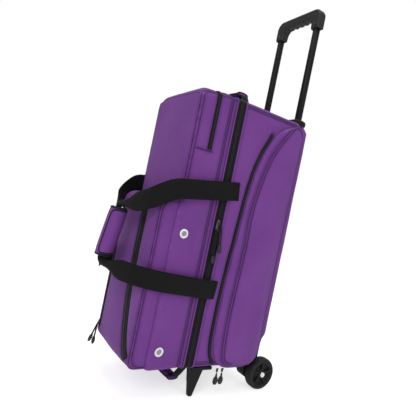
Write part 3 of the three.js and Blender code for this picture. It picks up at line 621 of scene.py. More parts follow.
def dressed(block, points, seams, swell, seed, sag, held):
    """Presses seams into a skin and lets the cloth between them swell, sag and wrinkle a little."""
    normals = block.normal(points)
    near = distance_to_seams(points, seams)
    height = swell * clear_of(near, SWELL_REACH) - groove(near) + puckers(points, near, 0.45, seed)
    height += 1.7 * perlin(points, (85, 85, 130), seed + 5) * clear_of(near, 30)
    height += 0.9 * perlin(points, (30, 30, 60), seed + 9) * clear_of(near, 20)
    down = (points[:, 2] - block.low[1]) / (block.high[1] - block.low[1])
    height += sag * np.sin(math.pi * np.clip(down, 0, 1) ** 0.8) * clear_of(near, 45)
    if held is not None:
        height *= held
    worn = np.clip((1 - np.abs(normals).max(1)) / 0.29, 0, 1)
    # The second value is a mask of painted shade along the seam grooves.
    return points + normals * height[:, None], np.exp(-(near / SEAM_SHADE_WIDTH) ** 2), worn


INFLATE_CAP = 7.0


def shell(name, block, lines, sides, seams, swell, thickness, body, node, seed, sag=0.0, pressure=0.0,
          held=None, reshape=None):
    """A foam-backed cloth shell with its lining: skin, swelling between the seams, and thickness inwards."""
    points, faces = block.skin(lines, sides)
    rest = block.projected(points)
    held_there = held(rest) if held else None
    points, seam, worn = dressed(block, points, seams, swell, seed, sag, held_there)
    if reshape:
        points = reshape(points)
    # The seam attribute carries the painted shade along the seam grooves.
    made = new_object(name, points, faces, [purple, lining], attributes={"seam": seam, "worn": worn})
    flip_outward(made, block)
    if pressure:
        pins = np.maximum(seam, 1 - held_there if held_there is not None else 0)
        inflate(made, pressure, INFLATE_CAP, np.clip(pins * 1.6, 0, 1))
    tree = surface_tree(made)
    thick = made.modifiers.new("lining", "SOLIDIFY")
    thick.thickness, thick.offset = thickness * MM, -1
    thick.material_offset, thick.material_offset_rim = 1, 0
    bake_modifiers(made)
    return place(made, "purple_fabric", body, node), tree


def flip_outward(made, block):
    """An open skin has no inside, so its faces are turned to look away from the block."""
    points = to_mm(coordinates(made))
    outward = block.normal(points)
    total = float((coordinates(made, "normal") * outward).sum())
    if total < 0:
        made.data.flip_normals()


CLOTH_FRAMES = 14


def inflate(made, pressure, cap, pins):
    """Lets cloth pressure swell the piece between its pinned places. No point moves more than cap."""
    start = coordinates(made)
    group = made.vertex_groups.new(name="held")
    for level in np.unique(np.round(pins, 1)):
        if level > 0:
            group.add(np.nonzero(np.round(pins, 1) == level)[0].tolist(), float(level), "REPLACE")
    cloth = made.modifiers.new("swell", "CLOTH")
    settings = cloth.settings
    settings.quality = 4
    settings.mass = 0.25
    settings.use_pressure = True
    settings.uniform_pressure_force = pressure
    settings.effector_weights.gravity = 0
    settings.vertex_group_mass = "held"
    settings.tension_stiffness = settings.compression_stiffness = 12
    settings.bending_stiffness = 1.5
    cloth.collision_settings.use_collision = False
    cloth.point_cache.frame_start = 1
    cloth.point_cache.frame_end = CLOTH_FRAMES
    scene = bpy.context.scene
    for number in range(1, CLOTH_FRAMES + 1):
        scene.frame_set(number)
    evaluated = made.evaluated_get(bpy.context.evaluated_depsgraph_get())
    moved = coordinates(evaluated) - start
    length = np.maximum(np.linalg.norm(moved, axis=1, keepdims=True), 1e-9)
    made.modifiers.remove(cloth)
    made.vertex_groups.clear()
    scene.frame_set(1)
    set_coordinates(made, start + moved * np.minimum(1, cap * MM / length))


def moulded(name, node, voxel, smoothing, look, slot, body):
    """A CAD solid with soft edges: remeshed evenly, then smoothed."""
    made = bpy.data.objects.new(name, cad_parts[node].data.copy())
    bpy.context.scene.collection.objects.link(made)
    made.data.materials.clear()
    made.data.materials.append(look)
    remesh = made.modifiers.new("even", "REMESH")
    remesh.mode, remesh.voxel_size, remesh.use_smooth_shade = "VOXEL", voxel * MM, True
    soften = made.modifiers.new("soft", "SMOOTH")
    soften.factor, soften.iterations = 0.5, smoothing
    bake_modifiers(made)
    made.data.polygons.foreach_set("material_index", [0] * len(made.data.polygons))
    return place(made, slot, body, node)


# ------------------------------------------------------------------ tub: the ball compartment
SEAM_INSETS = (9.0, 15.0)
STEP = 5.0
TUB_FRONT = TUB_LOW[1]
TUB_BACK = TUB_HIGH[1]
LID_FRONT = LID_LOW[1]
LID_BACK = LID_HIGH[1]


def side_border(x, front, back, bottom, top, radius, inset, mouth):
    """The seam round a side panel, drawn that far inside the panel's edge. Mouth is its open side."""
    low, high, far = bottom + inset, top - inset, (back - inset if mouth == "front" else front + inset)
    start = front if mouth == "front" else back
    corners = [(x, start, low), (x, far, low), (x, far, high), (x, start, high)]
    return rounded_path(corners, radius)


def corner_places(half_width, radius):
    """Where the double seam lies on a rounded corner: pairs of x and the distance from the front face."""
    turns = (math.radians(18), math.radians(50))
    return [(side * (half_width - radius * (1 - math.cos(turn))), radius * (1 - math.sin(turn)))
            for side in (1, -1) for turn in turns]


def seam_ring(y, half_width, bottom, top):
    """A seam right round the bag in one plane of y."""
    corners = [(0, y, bottom), (half_width, y, bottom), (half_width, y, top), (-half_width, y, top),
               (-half_width, y, bottom), (0, y, bottom)]
    return rounded_path(corners, EDGE_RADIUS * 0.6)


SIDE_ZIP_PATH = [(124, 748), (92, 672), (74, 580), (64, 441), (56, 310), (54, 190), (60, 122), (78, 88)]


BACK_HALF_SIDES = ("+x", "-x", "+y", "+z", "-z")
FRONT_HALF_SIDES = ("+x", "-x", "-y", "+z", "-z")
BODY_THICKNESS = 5.5
TUBE_ZONE = (104, 112)


def flat_behind_tubes(points):
    """The back stays flat where the guide tubes run down it."""
    at_back = smooth_step(points[:, 1], TUB_BACK - 8, TUB_BACK - 2)
    inner, outer = TUBE_ZONE
    return 1 - at_back * smooth_step(-np.abs(points[:, 0]), -outer, -inner)


def grid_lines(half_width, y_span, z_span, steps=(STEP, STEP, STEP)):
    """The places of a skin's grid lines across the width, the depth and the height."""
    spans = ((-half_width, half_width), y_span, z_span)
    return [even_lines(*span, step) for span, step in zip(spans, steps)]


def make_tub():
    block = Block(HALF_WIDTH, (-60, BOTTOM), (TUB_BACK, TOP), [16, 50, 30, 16], EDGE_RADIUS)
    lines = grid_lines(HALF_WIDTH, (TUB_FRONT, TUB_BACK), (BOTTOM, TOP))
    borders = [side_border(x, TUB_FRONT, TUB_BACK, BOTTOM, TOP, 34, inset, "front")
               for x in (-HALF_WIDTH, HALF_WIDTH) for inset in SEAM_INSETS]
    mouth = seam_ring(TUB_FRONT + 3, HALF_WIDTH, BOTTOM, TOP)
    side_zip = [(HALF_WIDTH, y, z) for y, z in spline(SIDE_ZIP_PATH, 4)]
    seams = [*borders, mouth, (np.array(side_zip), 5.0)]
    made, tree = shell("tub_cloth_shell", block, lines, BACK_HALF_SIDES, seams, 2.4, BODY_THICKNESS,
                       "tub", "tub_shell", 1.0, held=flat_behind_tubes)
    stitches("tub_seam_thread", tree, [*borders, mouth], "tub")
    return tree


FRONT_CORNER = 38.0


def round_front_corners(points):
    """Draws the lid's two upper front corners in to a wide curve that fades towards the zipper."""
    points = points.copy()
    centre_x, centre_z = HALF_WIDTH - FRONT_CORNER, TOP - FRONT_CORNER
    across, up = np.abs(points[:, 0]) - centre_x, points[:, 2] - centre_z
    in_corner = (across > 0) & (up > 0)
    square = np.maximum(across, up)
    reach = np.hypot(across, up)
    draw = np.where(in_corner, square / np.maximum(reach, 1e-6), 1.0)
    depth = smooth_step(-points[:, 1], 50, -LID_FRONT - 8)
    scale = 1 + (draw - 1) * depth
    points[:, 0] = np.where(in_corner, np.sign(points[:, 0]) * (centre_x + across * scale), points[:, 0])
    points[:, 2] = np.where(in_corner, centre_z + up * scale, points[:, 2])
    return points


def make_lid():
    block = Block(HALF_WIDTH, (LID_FRONT, BOTTOM), (60, TOP), [16, 16, 16, 28], EDGE_RADIUS)
    lines = grid_lines(HALF_WIDTH, (LID_FRONT, LID_BACK), (BOTTOM, TOP))
    borders = []
    for x, inset in corner_places(HALF_WIDTH, EDGE_RADIUS):
        corners = [(x, LID_FRONT + inset, POCKET_HIGH[2] - 4), (x, LID_FRONT + inset, TOP - inset),
                   (x, LID_BACK, TOP - inset)]
        borders.append(rounded_path(corners, 20))
    panel = HALF_WIDTH - 12
    front_y = LID_FRONT + 0.6
    corners = [(-panel, POCKET_HIGH[2] + 2), (-panel, TOP - 12), (panel, TOP - 12)]
    borders.append(rounded_path([(x, front_y, z) for x, z in corners], 24))
    gusset = [seam_ring(y, HALF_WIDTH, BOTTOM, TOP) for y in (-29.0, -35.0)]
    mouth = seam_ring(LID_BACK - 3, HALF_WIDTH, BOTTOM, TOP)
    shoe_y = centre_of("shoe_zip")[1]
    shoe_end = box_mm("shoe_zip")[0][2]
    corners = [(HALF_WIDTH, shoe_end), (HALF_WIDTH, TOP), (-HALF_WIDTH, TOP), (-HALF_WIDTH, shoe_end)]
    over_top = rounded_path([(x, shoe_y, z) for x, z in corners], EDGE_RADIUS * 0.6)
    tabs = [np.array([(x, shoe_y + 10, shoe_end - 5), (x, LID_FRONT + SEAM_INSETS[1], shoe_end - 5)])
            for x in (-HALF_WIDTH, HALF_WIDTH)]
    seams = [*borders, *gusset, mouth, (over_top, 6.5), *tabs]
    made, tree = shell("lid_cloth_shell", block, lines, FRONT_HALF_SIDES, seams, 2.6, BODY_THICKNESS,
                       "lid", "lid_shell", 2.0, sag=3.0, reshape=round_front_corners)
    sewn = [round_front_corners(path) for path in (*borders, *gusset, mouth, *tabs)]
    stitches("lid_seam_thread", tree, sewn, "lid")
    zipper("shoe_zipper", tree, round_front_corners(over_top), 13.0, "lid", "shoe_zip")
    return tree


POCKET_EDGE = 12
POCKET_STEP = 4.5
NEAR_ZIP_PATH = [(40, 482), (39, 400), (40, 320), (47, 240), (62, 172), (80, 128), (102, 100)]


def make_front_pocket():
    half_width = POCKET_HIGH[0]
    back = POCKET_HIGH[1]
    radii = [24, 14, 14, 34]
    block = Block(half_width, tuple(POCKET_LOW[1:]), (back + 45, POCKET_HIGH[2]), radii, POCKET_EDGE)
    lines = grid_lines(half_width, (POCKET_LOW[1], back), (POCKET_LOW[2], POCKET_HIGH[2]), [POCKET_STEP] * 3)
    borders = [side_border(x, POCKET_LOW[1], back, POCKET_LOW[2], POCKET_HIGH[2], 30, inset, "back")
               for x, inset in corner_places(half_width, POCKET_EDGE)]
    zip_y = box_mm("pocket_zip_near")[1][1]
    near_zip = np.array([(x, zip_y, z) for x, z in spline(NEAR_ZIP_PATH, 6)])
    far_low, far_high = box_mm("pocket_zip_far")
    far_x = centre_of("pocket_zip_far")[0]
    far_zip = np.array([(far_x, zip_y, far_high[2]), (far_x, zip_y, far_low[2])])

    def held(points):
        return smooth_step(back - points[:, 1], 0, 12)

    made, tree = shell("front_pocket_cloth", block, lines, FRONT_HALF_SIDES,
                       [*borders, (near_zip, 16.5), (far_zip, 4.5)], 2.5, 3.2, "lid", "front_pocket", 3.0,
                       sag=2.0, pressure=5.0, held=held)
    stitches("front_pocket_thread", tree, borders, "lid")
    zipper("pocket_zipper_near", tree, near_zip, 33.0, "lid", "pocket_zip_near")
    zipper("pocket_zipper_far", tree, far_zip, 9.0, "lid", "pocket_zip_far")


SIDE_SEAM_PATH = [(212, 798), (181, 784), (119, 680), (91, 540), (90, 410), (84, 211), (94, 106), (128, 84)]


def make_side_pocket():
    """A pocket that rises from its zipper up a sloping gusset to a flat, slightly crowned face."""
    made = moulded("side_pocket_cloth", "side_pocket", 5.0, 6, purple, "purple_fabric", "tub")
    points = to_mm(coordinates(made))
    base, face = SIDE_LOW[0], SIDE_HIGH[0]
    zip_line = np.array([(0, y + 4, z) for y, z in spline(SIDE_ZIP_PATH, 6)])
    flat = points * [0, 1, 1]
    from_zip = distance_to_path(flat, zip_line)
    rise = smooth_step(from_zip, 0, 34)
    raised = np.clip((points[:, 0] - base) / (face - base), 0, 1)
    height = points[:, 2]
    middle = smooth_step(height - SIDE_LOW[2], 0, 60) * smooth_step(SIDE_HIGH[2] - height, 0, 60)
    crown = 2.5 * smooth_step(from_zip, 30, 90) * smooth_step(SIDE_HIGH[1] - points[:, 1], 0, 60) * middle
    points[:, 0] = base + raised * ((face - base) * (0.28 + 0.72 * rise) + crown)
    set_coordinates(made, to_metres(points))
    inflate(made, 4.0, 5.0, (raised < 0.5).astype(float))
    refine = made.modifiers.new("fine", "SUBSURF")
    refine.levels = refine.render_levels = 1
    bake_modifiers(made)
    points = to_mm(coordinates(made))
    seam_path = spline(SIDE_SEAM_PATH, 8)
    lines = []
    for shift in (0.0, 8.5):
        side = tangents(seam_path)
        moved = seam_path + np.stack([-side[:, 1], side[:, 0]], 1) * shift
        lines.append(np.array([(face, y, z) for y, z in moved]))
    back_edge = rounded_path([(face, 190, 790), (face, SIDE_HIGH[1] - 8, 790), (face, SIDE_HIGH[1] - 8, 82),
                              (face, 150, 82)], 40)
    near = distance_to_seams(points * [0, 1, 1], [line * [0, 1, 1] for line in (*lines, back_edge)])
    top = smooth_step(points[:, 0], base + 2, base + 6)
    ripple = 0.9 * perlin(points, (80, 70, 140), 7.0) * clear_of(near, 25)
    points[:, 0] += top * (puckers(points, near, 0.4, 4.0) + ripple - groove(near))
    set_coordinates(made, to_metres(points))
    # Painted shade along the seam grooves, stored in the seam attribute.
    set_attribute(made, "seam", np.exp(-(near / SEAM_SHADE_WIDTH) ** 2) * top)
    set_attribute(made, "worn", smooth_step(1 - np.abs(coordinates(made, "normal")[:, 0]), 0.1, 0.5))
    tree = surface_tree(made)
    stitches("side_pocket_thread", tree, [*lines, back_edge], "tub")


def make_side_zipper(tree):
    path = np.array([(HALF_WIDTH, y, z) for y, z in spline(SIDE_ZIP_PATH, 6)])
    zipper("side_pocket_zipper", tree, path, 10.0, "tub", "side_pocket_zip")


def band_path():
    """The three sides that the main zipper runs along, from the far bottom corner to the far top corner."""
    start = -112.0
    corners = [(start, 0, BOTTOM), (HALF_WIDTH, 0, BOTTOM), (HALF_WIDTH, 0, TOP), (start, 0, TOP)]
    return rounded_path(corners, EDGE_RADIUS, 9)


def band_frames(step):
    """Points along the main zipper, with the directions along it and out of the bag."""
    path = resample(band_path(), step)
    along = tangents(path)
    outward = unit(np.cross(along, [0, 1, 0]))
    return path, along, outward * math.copysign(1.0, outward[:, 0].sum())


def make_mouth_binding():
    """A folded strip of cloth on the edge of each shell, beside the main zipper."""
    for half, y in (("tub", TUB_FRONT + 1.6), ("lid", LID_BACK - 1.6)):
        path, _, outward = band_frames(5.0)
        fold = path + [0, y, 0] + outward * 0.9
        place(strap(f"mouth_binding_{half}", fold, outward, 4.6, 1.8, purple, 0.5), "purple_fabric", half)


COVER_EDGE = 12
COVER_RADIUS = 14
COVER_SEAM_INSET = 16
COVER_ROW_INSET = 9


def make_back_cover():
    low, high = box_mm("back_cover")
    block = Block(high[0], (180, low[2] - 60), (high[1], high[2] + 60), [COVER_RADIUS] * 4, COVER_EDGE)
    lines = grid_lines(high[0], (low[1], high[1]), (low[2], high[2]), (STEP, 4.0, STEP))
    seam_x = high[0] - COVER_SEAM_INSET
    row_heights = (low[2] + COVER_ROW_INSET, high[2] - COVER_ROW_INSET)
    edges = [np.array([(x, high[1], low[2]), (x, high[1], high[2])]) for x in (-seam_x, seam_x)]
    rows = [np.array([(-seam_x, high[1], z), (seam_x, high[1], z)]) for z in row_heights]
    made, tree = shell("back_cover_cloth", block, lines, ["+x", "-x", "+y"], [*edges, *rows], 2.0, 3.0,
                       "tub", "back_cover", 4.0)
    points = to_mm(coordinates(made))
    corner = smooth_step(np.abs(points[:, 0]), 84, 102)
    depth = (points[:, 1] - low[1]) / (high[1] - low[1])
    for from_end, reach in ((points[:, 2] - low[2], 36), (high[2] - points[:, 2], 18)):
        round_off = 1 - smooth_step(from_end, -reach * 0.3, reach)
        points[:, 1] -= corner * depth * round_off * (high[1] - low[1] - 2)
    set_coordinates(made, to_metres(points))
    stitches("back_cover_thread", tree, [*edges, *rows], "tub")


# ------------------------------------------------------------------ main zipper and fabric hinge
MAIN_THREAD_ROWS = (5.2, 11.4)


def make_main_zipper():
    """Each half carries its own tape, its own row of teeth and two rows of thread."""
    for half, side, node in (("tub", 1, "zip_tape_tub"), ("lid", -1, "zip_tape_lid")):
        path, _, outward = band_frames(5.0)
        tape_path = path + [0, side * (TAPE_HALF_WIDTH / 2 + 0.2), 0] - outward * 1.6
        tape = strap(f"main_zipper_tape_{half}", tape_path, outward, TAPE_HALF_WIDTH - 0.4, 2.6, tape_cloth)
        place(tape, "zipper_tape", half, node)
        path, along, outward = band_frames(COIL_PITCH)
        across = np.zeros_like(path) + [0, 1, 0]
        centres = path + along * (COIL_PITCH / 2 if side > 0 else 0) - outward * 0.5
        coil(f"main_zipper_coil_{half}", centres, along, across, outward, side * 1.9, half)
        path, along, outward = band_frames(STITCH_PITCH)
        across = np.zeros_like(path) + [0, 0.45, 0]
        for row, offset in enumerate(MAIN_THREAD_ROWS):
            centres = path + [0, side * offset, 0] - outward * 0.2
            sew(f"main_zipper_thread_{half}_{row}", centres, along, across, outward * 0.5, black_thread,
                "zipper_tape", half)


def make_fabric_hinge():
    low, high = box_mm("hinge_strip_tub")
    rows = np.linspace(low[2], high[2], 120)
    x = low[0] + 1.2
    half = TAPE_HALF_WIDTH
    across = np.linspace(-half, half, 17)
    rings = []
    for z in rows:
        wave = 0.25 * math.sin(z / 7.0)
        outer = [(x - 1.4 - 0.5 * math.cos(y / half * math.pi / 2) - wave * 0.4, y, z) for y in across]
        inner = [(x + 1.0, y, z) for y in across[::-1]]
        rings.append(outer + inner)
    uv = [(z, y) for z in rows for y in [*across, *across[::-1]]]
    made = loft("fabric_hinge", rings, webbing_cloth, uv)
    place(made, "black_webbing", None, "hinge_strip_tub", "hinge_strip_lid")
    tuple(to_metres((x, half * 0.7, 0)))
    tuple(to_metres((x, -half * 0.7, 0)))
    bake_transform(made)


# ------------------------------------------------------------------ carry handle
HINGE_Y = 20.0
UPPER_HEIGHT = 564
UPPER_SLOPE = 0.15
LOWER_HEIGHT = 295
LOWER_SLOPE = 0.085
DROOP_LENGTH = 90


def drooping(start_y, droop, power):
    """The height of an upper strap along y: it slopes forward, and droops past the lid's front corner."""
    def height(y):
        y = np.asarray(y, float)
        past = np.maximum(0, start_y - y) / DROOP_LENGTH
        return UPPER_HEIGHT - UPPER_SLOPE * (HINGE_Y - y) - droop * past ** power
    return height


near_upper_height = drooping(-145, 58, 1.4)
far_upper_height = drooping(-130, 85, 1.3)


def lower_height(y):
    return LOWER_HEIGHT + LOWER_SLOPE * (HINGE_Y - np.asarray(y, float))


WEBBING_WIDTH = 50.0
WEBBING_THICKNESS = 2.6
GATHERED = 0.38
BAG_CENTRE = np.array([0.0, -60.0, 0.0])


def loop_path(upper, lower, bends):
    """The middle line of a carry loop, smoothed where it turns down into the wrap and out of it."""
    turn = spline([upper[-1], *bends, lower[-1]], 6)[1:-1]
    path = resample(np.concatenate([upper, turn, lower[::-1]]), 5.0)
    for _ in range(3):
        path[1:-1] = (path[:-2] + 2 * path[1:-1] + path[2:]) / 4
    return path


def loop_outward(path, side):
    """The webbing's face direction: out of the bag's side, and to the front where it runs down the wrap."""
    along = tangents(path)
    flat_out = unit(np.cross(along, [0, 0, 1.0]))
    away = unit((path - BAG_CENTRE) * [1, 1, 0])
    flat_out *= np.where(np.sum(flat_out * away, 1, keepdims=True) < 0, -1, 1)
    in_wrap = smooth_step(55 - np.abs(path[:, :1]), 0, 30)
    forward = smooth_step(np.abs(along[:, 2:3]), 0.35, 0.8) * in_wrap
    outward = unit(flat_out * (1 - forward) + np.array([0.15 * side, -1.0, 0.0]) * forward)
    for _ in range(6):
        outward[1:-1] = unit(outward[:-2] + 2 * outward[1:-1] + outward[2:])
    return outward


def carry_loop(name, upper_height, gather, upper_plan, bends, lower_plan):
    """One loop of webbing: forward at the upper height, down through the wrap, back at the lower height."""
    upper, lower = spline(upper_plan), spline(lower_plan)
    upper = np.column_stack([upper, upper_height(upper[:, 1])])
    lower = np.column_stack([lower, lower_height(lower[:, 1])])
    path = loop_path(upper, lower, bends)
    outward = loop_outward(path, 1.0 if upper_plan[0][0] > 0 else -1.0)
    from_middle = np.abs(path[:, 0])
    gathered = GATHERED + (1 - GATHERED) * smooth_step(from_middle, *gather)
    bow = 5.5 * (1 - gathered) / (1 - GATHERED) + 0.6
    length = lengths_along(path)
    ripple = 0.8 * np.sin(length / 23.0) * smooth_step(from_middle, 60, 130)
    ends = smooth_step(length, 25, 60) * smooth_step(length[::-1], 25, 60)
    path = path + outward * (ripple * ends)[:, None]
    width = WEBBING_WIDTH * gathered
    return strap(name, path, outward, width, WEBBING_THICKNESS, webbing_cloth, bow * ends, 11)


BOX_STITCH_HEIGHT = 42


def box_stitch(name, x, outward, y_low, y_high, z, body):
    """The sewn square with a cross that holds the end of a strap."""
    low, high = z - BOX_STITCH_HEIGHT / 2, z + BOX_STITCH_HEIGHT / 2
    corners = [(y_low, low), (y_high, low), (y_high, high), (y_low, high), (y_low, low), (y_high, high)]
    path = [np.array([(x, a, b), (x, c, d)]) for (a, b), (c, d) in zip(corners, corners[1:])]
    path.append(np.array([(x, y_low, high), (x, y_high, low)]))
    rows = [resample(p, STITCH_PITCH) for p in path]
    along = np.concatenate([tangents(r) for r in rows])
    centres = np.concatenate(rows)
    out = np.zeros_like(centres) + [outward, 0, 0]
    sew(name, centres, along, np.cross(out, along) * 0.5, out * 0.6, black_thread, "black_webbing", body)


NEAR_SIDE = [(130.1, 27), (132.6, 18.5), (137.6, 11), (141, 0), (143, -45), (144, -100), (141, -150)]
FAR_SIDE = [(-130.8, -17), (-131.5, -45), (-138, -75), (-144.2, -110), (-141, -150)]
NEAR_BENDS = [(8, -228, 473), (-1, -232, 460), (-1, -243, 398), (-1, -251.5, 332), (8, -250, 319)]
FAR_BENDS = [(-25, -217, 438), (-17, -221, 426), (-17, -229.5, 385), (-17, -239, 332), (-25, -240, 319)]


ANCHOR_X = 129.9
ANCHOR_START = 25
ANCHOR_THREAD_X = 131.5
FAR_THREAD_X = -132.6
FAR_THREAD_SPAN = (-40, -20)
UPPER_END = box_mm("strap_anchor_upper")[1][1]
LOWER_END = box_mm("strap_anchor_lower")[1][1]


def make_near_loop():
    """The near loop is sewn to the tub behind its hinge and runs down through the wrap in front of it."""
    upper_plan = [(ANCHOR_X, UPPER_END), (ANCHOR_X, 36), *NEAR_SIDE, (120, -194), (74, -217), (24, -227)]
    lower_plan = [(ANCHOR_X, LOWER_END), (ANCHOR_X, 31), *NEAR_SIDE, (121, -196), (76, -226), (24, -246)]
    near = carry_loop("near_carry_loop", near_upper_height, (28, 85), upper_plan, NEAR_BENDS, lower_plan)
    place(near, "black_webbing", None, "near_strap", "strap_anchor_upper", "strap_anchor_lower")
    tuple(to_metres((131, 26, 0)))
    tuple(to_metres((131, 12, 0)))
    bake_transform(near)


def make_far_loop():
    upper_plan = [*FAR_SIDE, (-120, -190), (-76, -208), (-38, -216)]
    lower_plan = [*FAR_SIDE, (-121, -194), (-78, -220), (-40, -236)]
    far = carry_loop("far_carry_loop", far_upper_height, (18, 48), upper_plan, FAR_BENDS, lower_plan)
    place(far, "black_webbing", "lid", "far_strap")


def make_anchor_threads():
    for level, end, height in (("upper", UPPER_END, near_upper_height), ("lower", LOWER_END, lower_height)):
        name, middle = f"near_anchor_thread_{level}", float(height((ANCHOR_START + end) / 2))
        box_stitch(name, ANCHOR_THREAD_X, 1.0, ANCHOR_START, end - 2.5, middle, "tub")
    for level, height in (("upper", far_upper_height), ("lower", lower_height)):
        middle = float(height(sum(FAR_THREAD_SPAN) / 2))
        box_stitch(f"far_anchor_thread_{level}", FAR_THREAD_X, -1.0, *FAR_THREAD_SPAN, middle, "lid")


WRAP_CENTRE = (-6.0, -236.0)
WRAP_LOW, WRAP_HIGH = box_mm("handle_wrap")
WRAP_MIDDLE = 398.0
WRAP_LEAN = 0.14


def wrap_point(angle, radius_x, radius_y, z):
    a = math.radians(angle)
    x, y = WRAP_CENTRE
    return (x + radius_x * math.cos(a), y + radius_y * math.sin(a) + WRAP_LEAN * (z - WRAP_MIDDLE), z)


def curved_pad(name, angles, heights, inner, outer, crown, corner):
    """A pad bent round the wrap's axis, between two pairs of radii. Crown swells it away from its edges."""
    columns, rows = 40, 34
    grid = {}
    points, faces = [], []
    mid_height = sum(heights) / 2
    half_height = (heights[1] - heights[0]) / 2
    mid_angle = sum(angles) / 2
    half_angle = (angles[1] - angles[0]) / 2
    arc = math.radians(half_angle) * (outer[0] + outer[1]) / 2
    for layer, (rx, ry) in enumerate((inner, outer)):
        for i in range(columns + 1):
            for j in range(rows + 1):
                u, v = 2 * i / columns - 1, 2 * j / rows - 1
                if corner:
                    reach = 1 - corner / arc
                    over = max(0.0, abs(u) - reach) / (1 - reach)
                    v_limit = 1 - (corner / half_height) * (1 - math.sqrt(max(0.0, 1 - over * over)))
                    v *= v_limit
                edge = (1 - u ** 6) * (1 - v ** 6)
                swell = layer * (crown * edge - 0.8 * (1 - edge))
                grid[layer, i, j] = len(points)
                points.append(wrap_point(mid_angle + half_angle * u, rx + swell, ry + swell,
                                         mid_height + half_height * v))
    for layer in (0, 1):
        for i in range(columns):
            for j in range(rows):
                faces.append([grid[layer, i + a, j + b] for a, b in ((0, 0), (1, 0), (1, 1), (0, 1))])
    border = [*[(i, 0) for i in range(columns)], *[(columns, j) for j in range(rows)],
              *[(i, rows) for i in range(columns, 0, -1)], *[(0, j) for j in range(rows, 0, -1)]]
    for k, (i, j) in enumerate(border):
        m, n = border[(k + 1) % len(border)]
        faces.append([grid[0, i, j], grid[0, m, n], grid[1, m, n], grid[1, i, j]])
    made = new_object(name, points, faces, purple)
    edge_path = [(np.array(points[grid[0, i, j]]) + np.array(points[grid[1, i, j]])) / 2 for i, j in border]
    return made, np.array(edge_path)


def bound_pad(name, angles, inset, inner, outer, crown, corner, binding_radius, *nodes):
    """A padded piece of the wrap, with a binding round its edge."""
    heights = (WRAP_LOW[2] + inset, WRAP_HIGH[2] - inset)
    pad, edge = curved_pad(name, angles, heights, inner, outer, crown, corner)
    place(pad, "purple_fabric", "near_loop", *nodes)
    binding = tube(f"{name}_binding", resample(edge, 4.0)[:-1], binding_radius, binding_cloth, closed=True)
    place(binding, "black_webbing", "near_loop")


def make_wrap():
    bound_pad("wrap_pad", (200, 455), 2, (20, 16), (25, 21), 1.2, 0.0, 3.4, "handle_wrap")
    bound_pad("wrap_flap", (298, 452), 7, (25.8, 21.8), (27.6, 23.6), 1.6, 13.0, 2.5)


# ------------------------------------------------------------------ grab handles
def grab_local(rise):
    half = [(94, 2), (86, 2), (78, 4), (69, rise * 0.45), (57, rise * 0.92), (40, rise + 1)]
    return spline([*[(-x, z) for x, z in half], (0, rise + 2), *half[::-1]], 8)


TOP_GRAB = {"name": "top", "rise": 37.0, "y": 48.0, "up": 1.0}
BOTTOM_GRAB = {"name": "bottom", "rise": 58.0, "y": 30.0, "up": -1.0}
GRAB_SWING = 0.42
GRAB_WIDTH = 27.0
GRAB_THICKNESS = 2.4
SLEEVE_HALF_LENGTH = 54.0
SLEEVE_HALF_WIDTH = 17.4
SLEEVE_PUFF = 7.6
SLEEVE_SIDES = 28


def grab_placed(points, grab):
    """Points drawn as (x, across, height over the end), moved to the top or turned over to the bottom."""
    points = np.array(points, float)
    if grab["name"] == "top":
        return points + [0, grab["y"], TOP]
    points = points * [1, -1, -1] + [0, grab["y"], BOTTOM]
    points[:, 1] += GRAB_SWING * np.minimum(0, points[:, 2] - BOTTOM + 4)
    return points


def grab_outward(path, across, up):
    """The directions out of a grab handle's webbing, away from the bag."""
    outward = unit(np.cross(tangents(path), across))
    return outward * np.sign(outward[len(outward) // 2, 2] * up)


def make_grab_sleeve(name, middle, side, outward):
    """The padded sleeve, with a binding along both edges and round both ends."""
    rings = []
    for p, s, o in zip(middle, side, outward):
        end = 1 - abs(p[0]) / SLEEVE_HALF_LENGTH
        fat = 1 - 0.30 * math.exp(-end * 14)
        puff = SLEEVE_PUFF * fat * (1 + 0.05 * math.sin(p[0] / 6.0))
        rings.append([p + s * a + o * b for a, b in ring_section(SLEEVE_HALF_WIDTH, puff, SLEEVE_SIDES, 2.7)])
    sleeve = loft(f"{name}_grab_pad", rings, purple)
    pinned = (np.abs(middle[:, 0]) > SLEEVE_HALF_LENGTH - 4).astype(float)
    inflate(sleeve, 2.0, 2.0, np.repeat(pinned, SLEEVE_SIDES))
    place(sleeve, "purple_fabric", "tub", f"{name}_grab_sleeve")
    for index, (sign, k) in enumerate(((-1, 1), (1, -2))):
        edge = (middle + side * ((SLEEVE_HALF_WIDTH + 0.2) * sign))[2:-2]
        place(tube(f"{name}_grab_binding_{index}", edge, 2.1, binding_cloth, 8), "black_webbing", "tub")
        section = ring_section(SLEEVE_HALF_WIDTH - 0.2, 6.4, SLEEVE_SIDES, 2.6)
        ring = [middle[k] + side[k] * a + outward[k] * b for a, b in section]
        end = tube(f"{name}_grab_end_{index}", ring, 3.0, binding_cloth, 8, closed=True)
        place(end, "black_webbing", "tub")


def make_grab(grab):
    name, rise, up = grab["name"], grab["rise"], grab["up"]
    path = resample(grab_placed([(x, 0, z) for x, z in grab_local(rise)], grab), 4.0)
    tilt = grab_placed([(0, 1, rise), (0, 0, rise)], grab)
    across = unit(tilt[0] - tilt[1])
    outward = grab_outward(path, across, up)
    band = strap(f"{name}_grab_strap", path, outward, GRAB_WIDTH, GRAB_THICKNESS, webbing_cloth)
    place(band, "black_webbing", "tub", f"{name}_grab_webbing")
    middle = resample(path[np.abs(path[:, 0]) < SLEEVE_HALF_LENGTH], 2.5)
    outward = grab_outward(middle, across, up)
    make_grab_sleeve(name, middle, np.cross(tangents(middle), outward), outward)


# ------------------------------------------------------------------ sliders and pulls
PULL_END = 20.0


SLIDER_OUTLINE = [(-5.0, -7.5), (5.0, -7.5), (5.4, -3), (4.2, 3.5),
                  (2.4, 7.5), (-2.4, 7.5), (-4.2, 3.5), (-5.4, -3)]


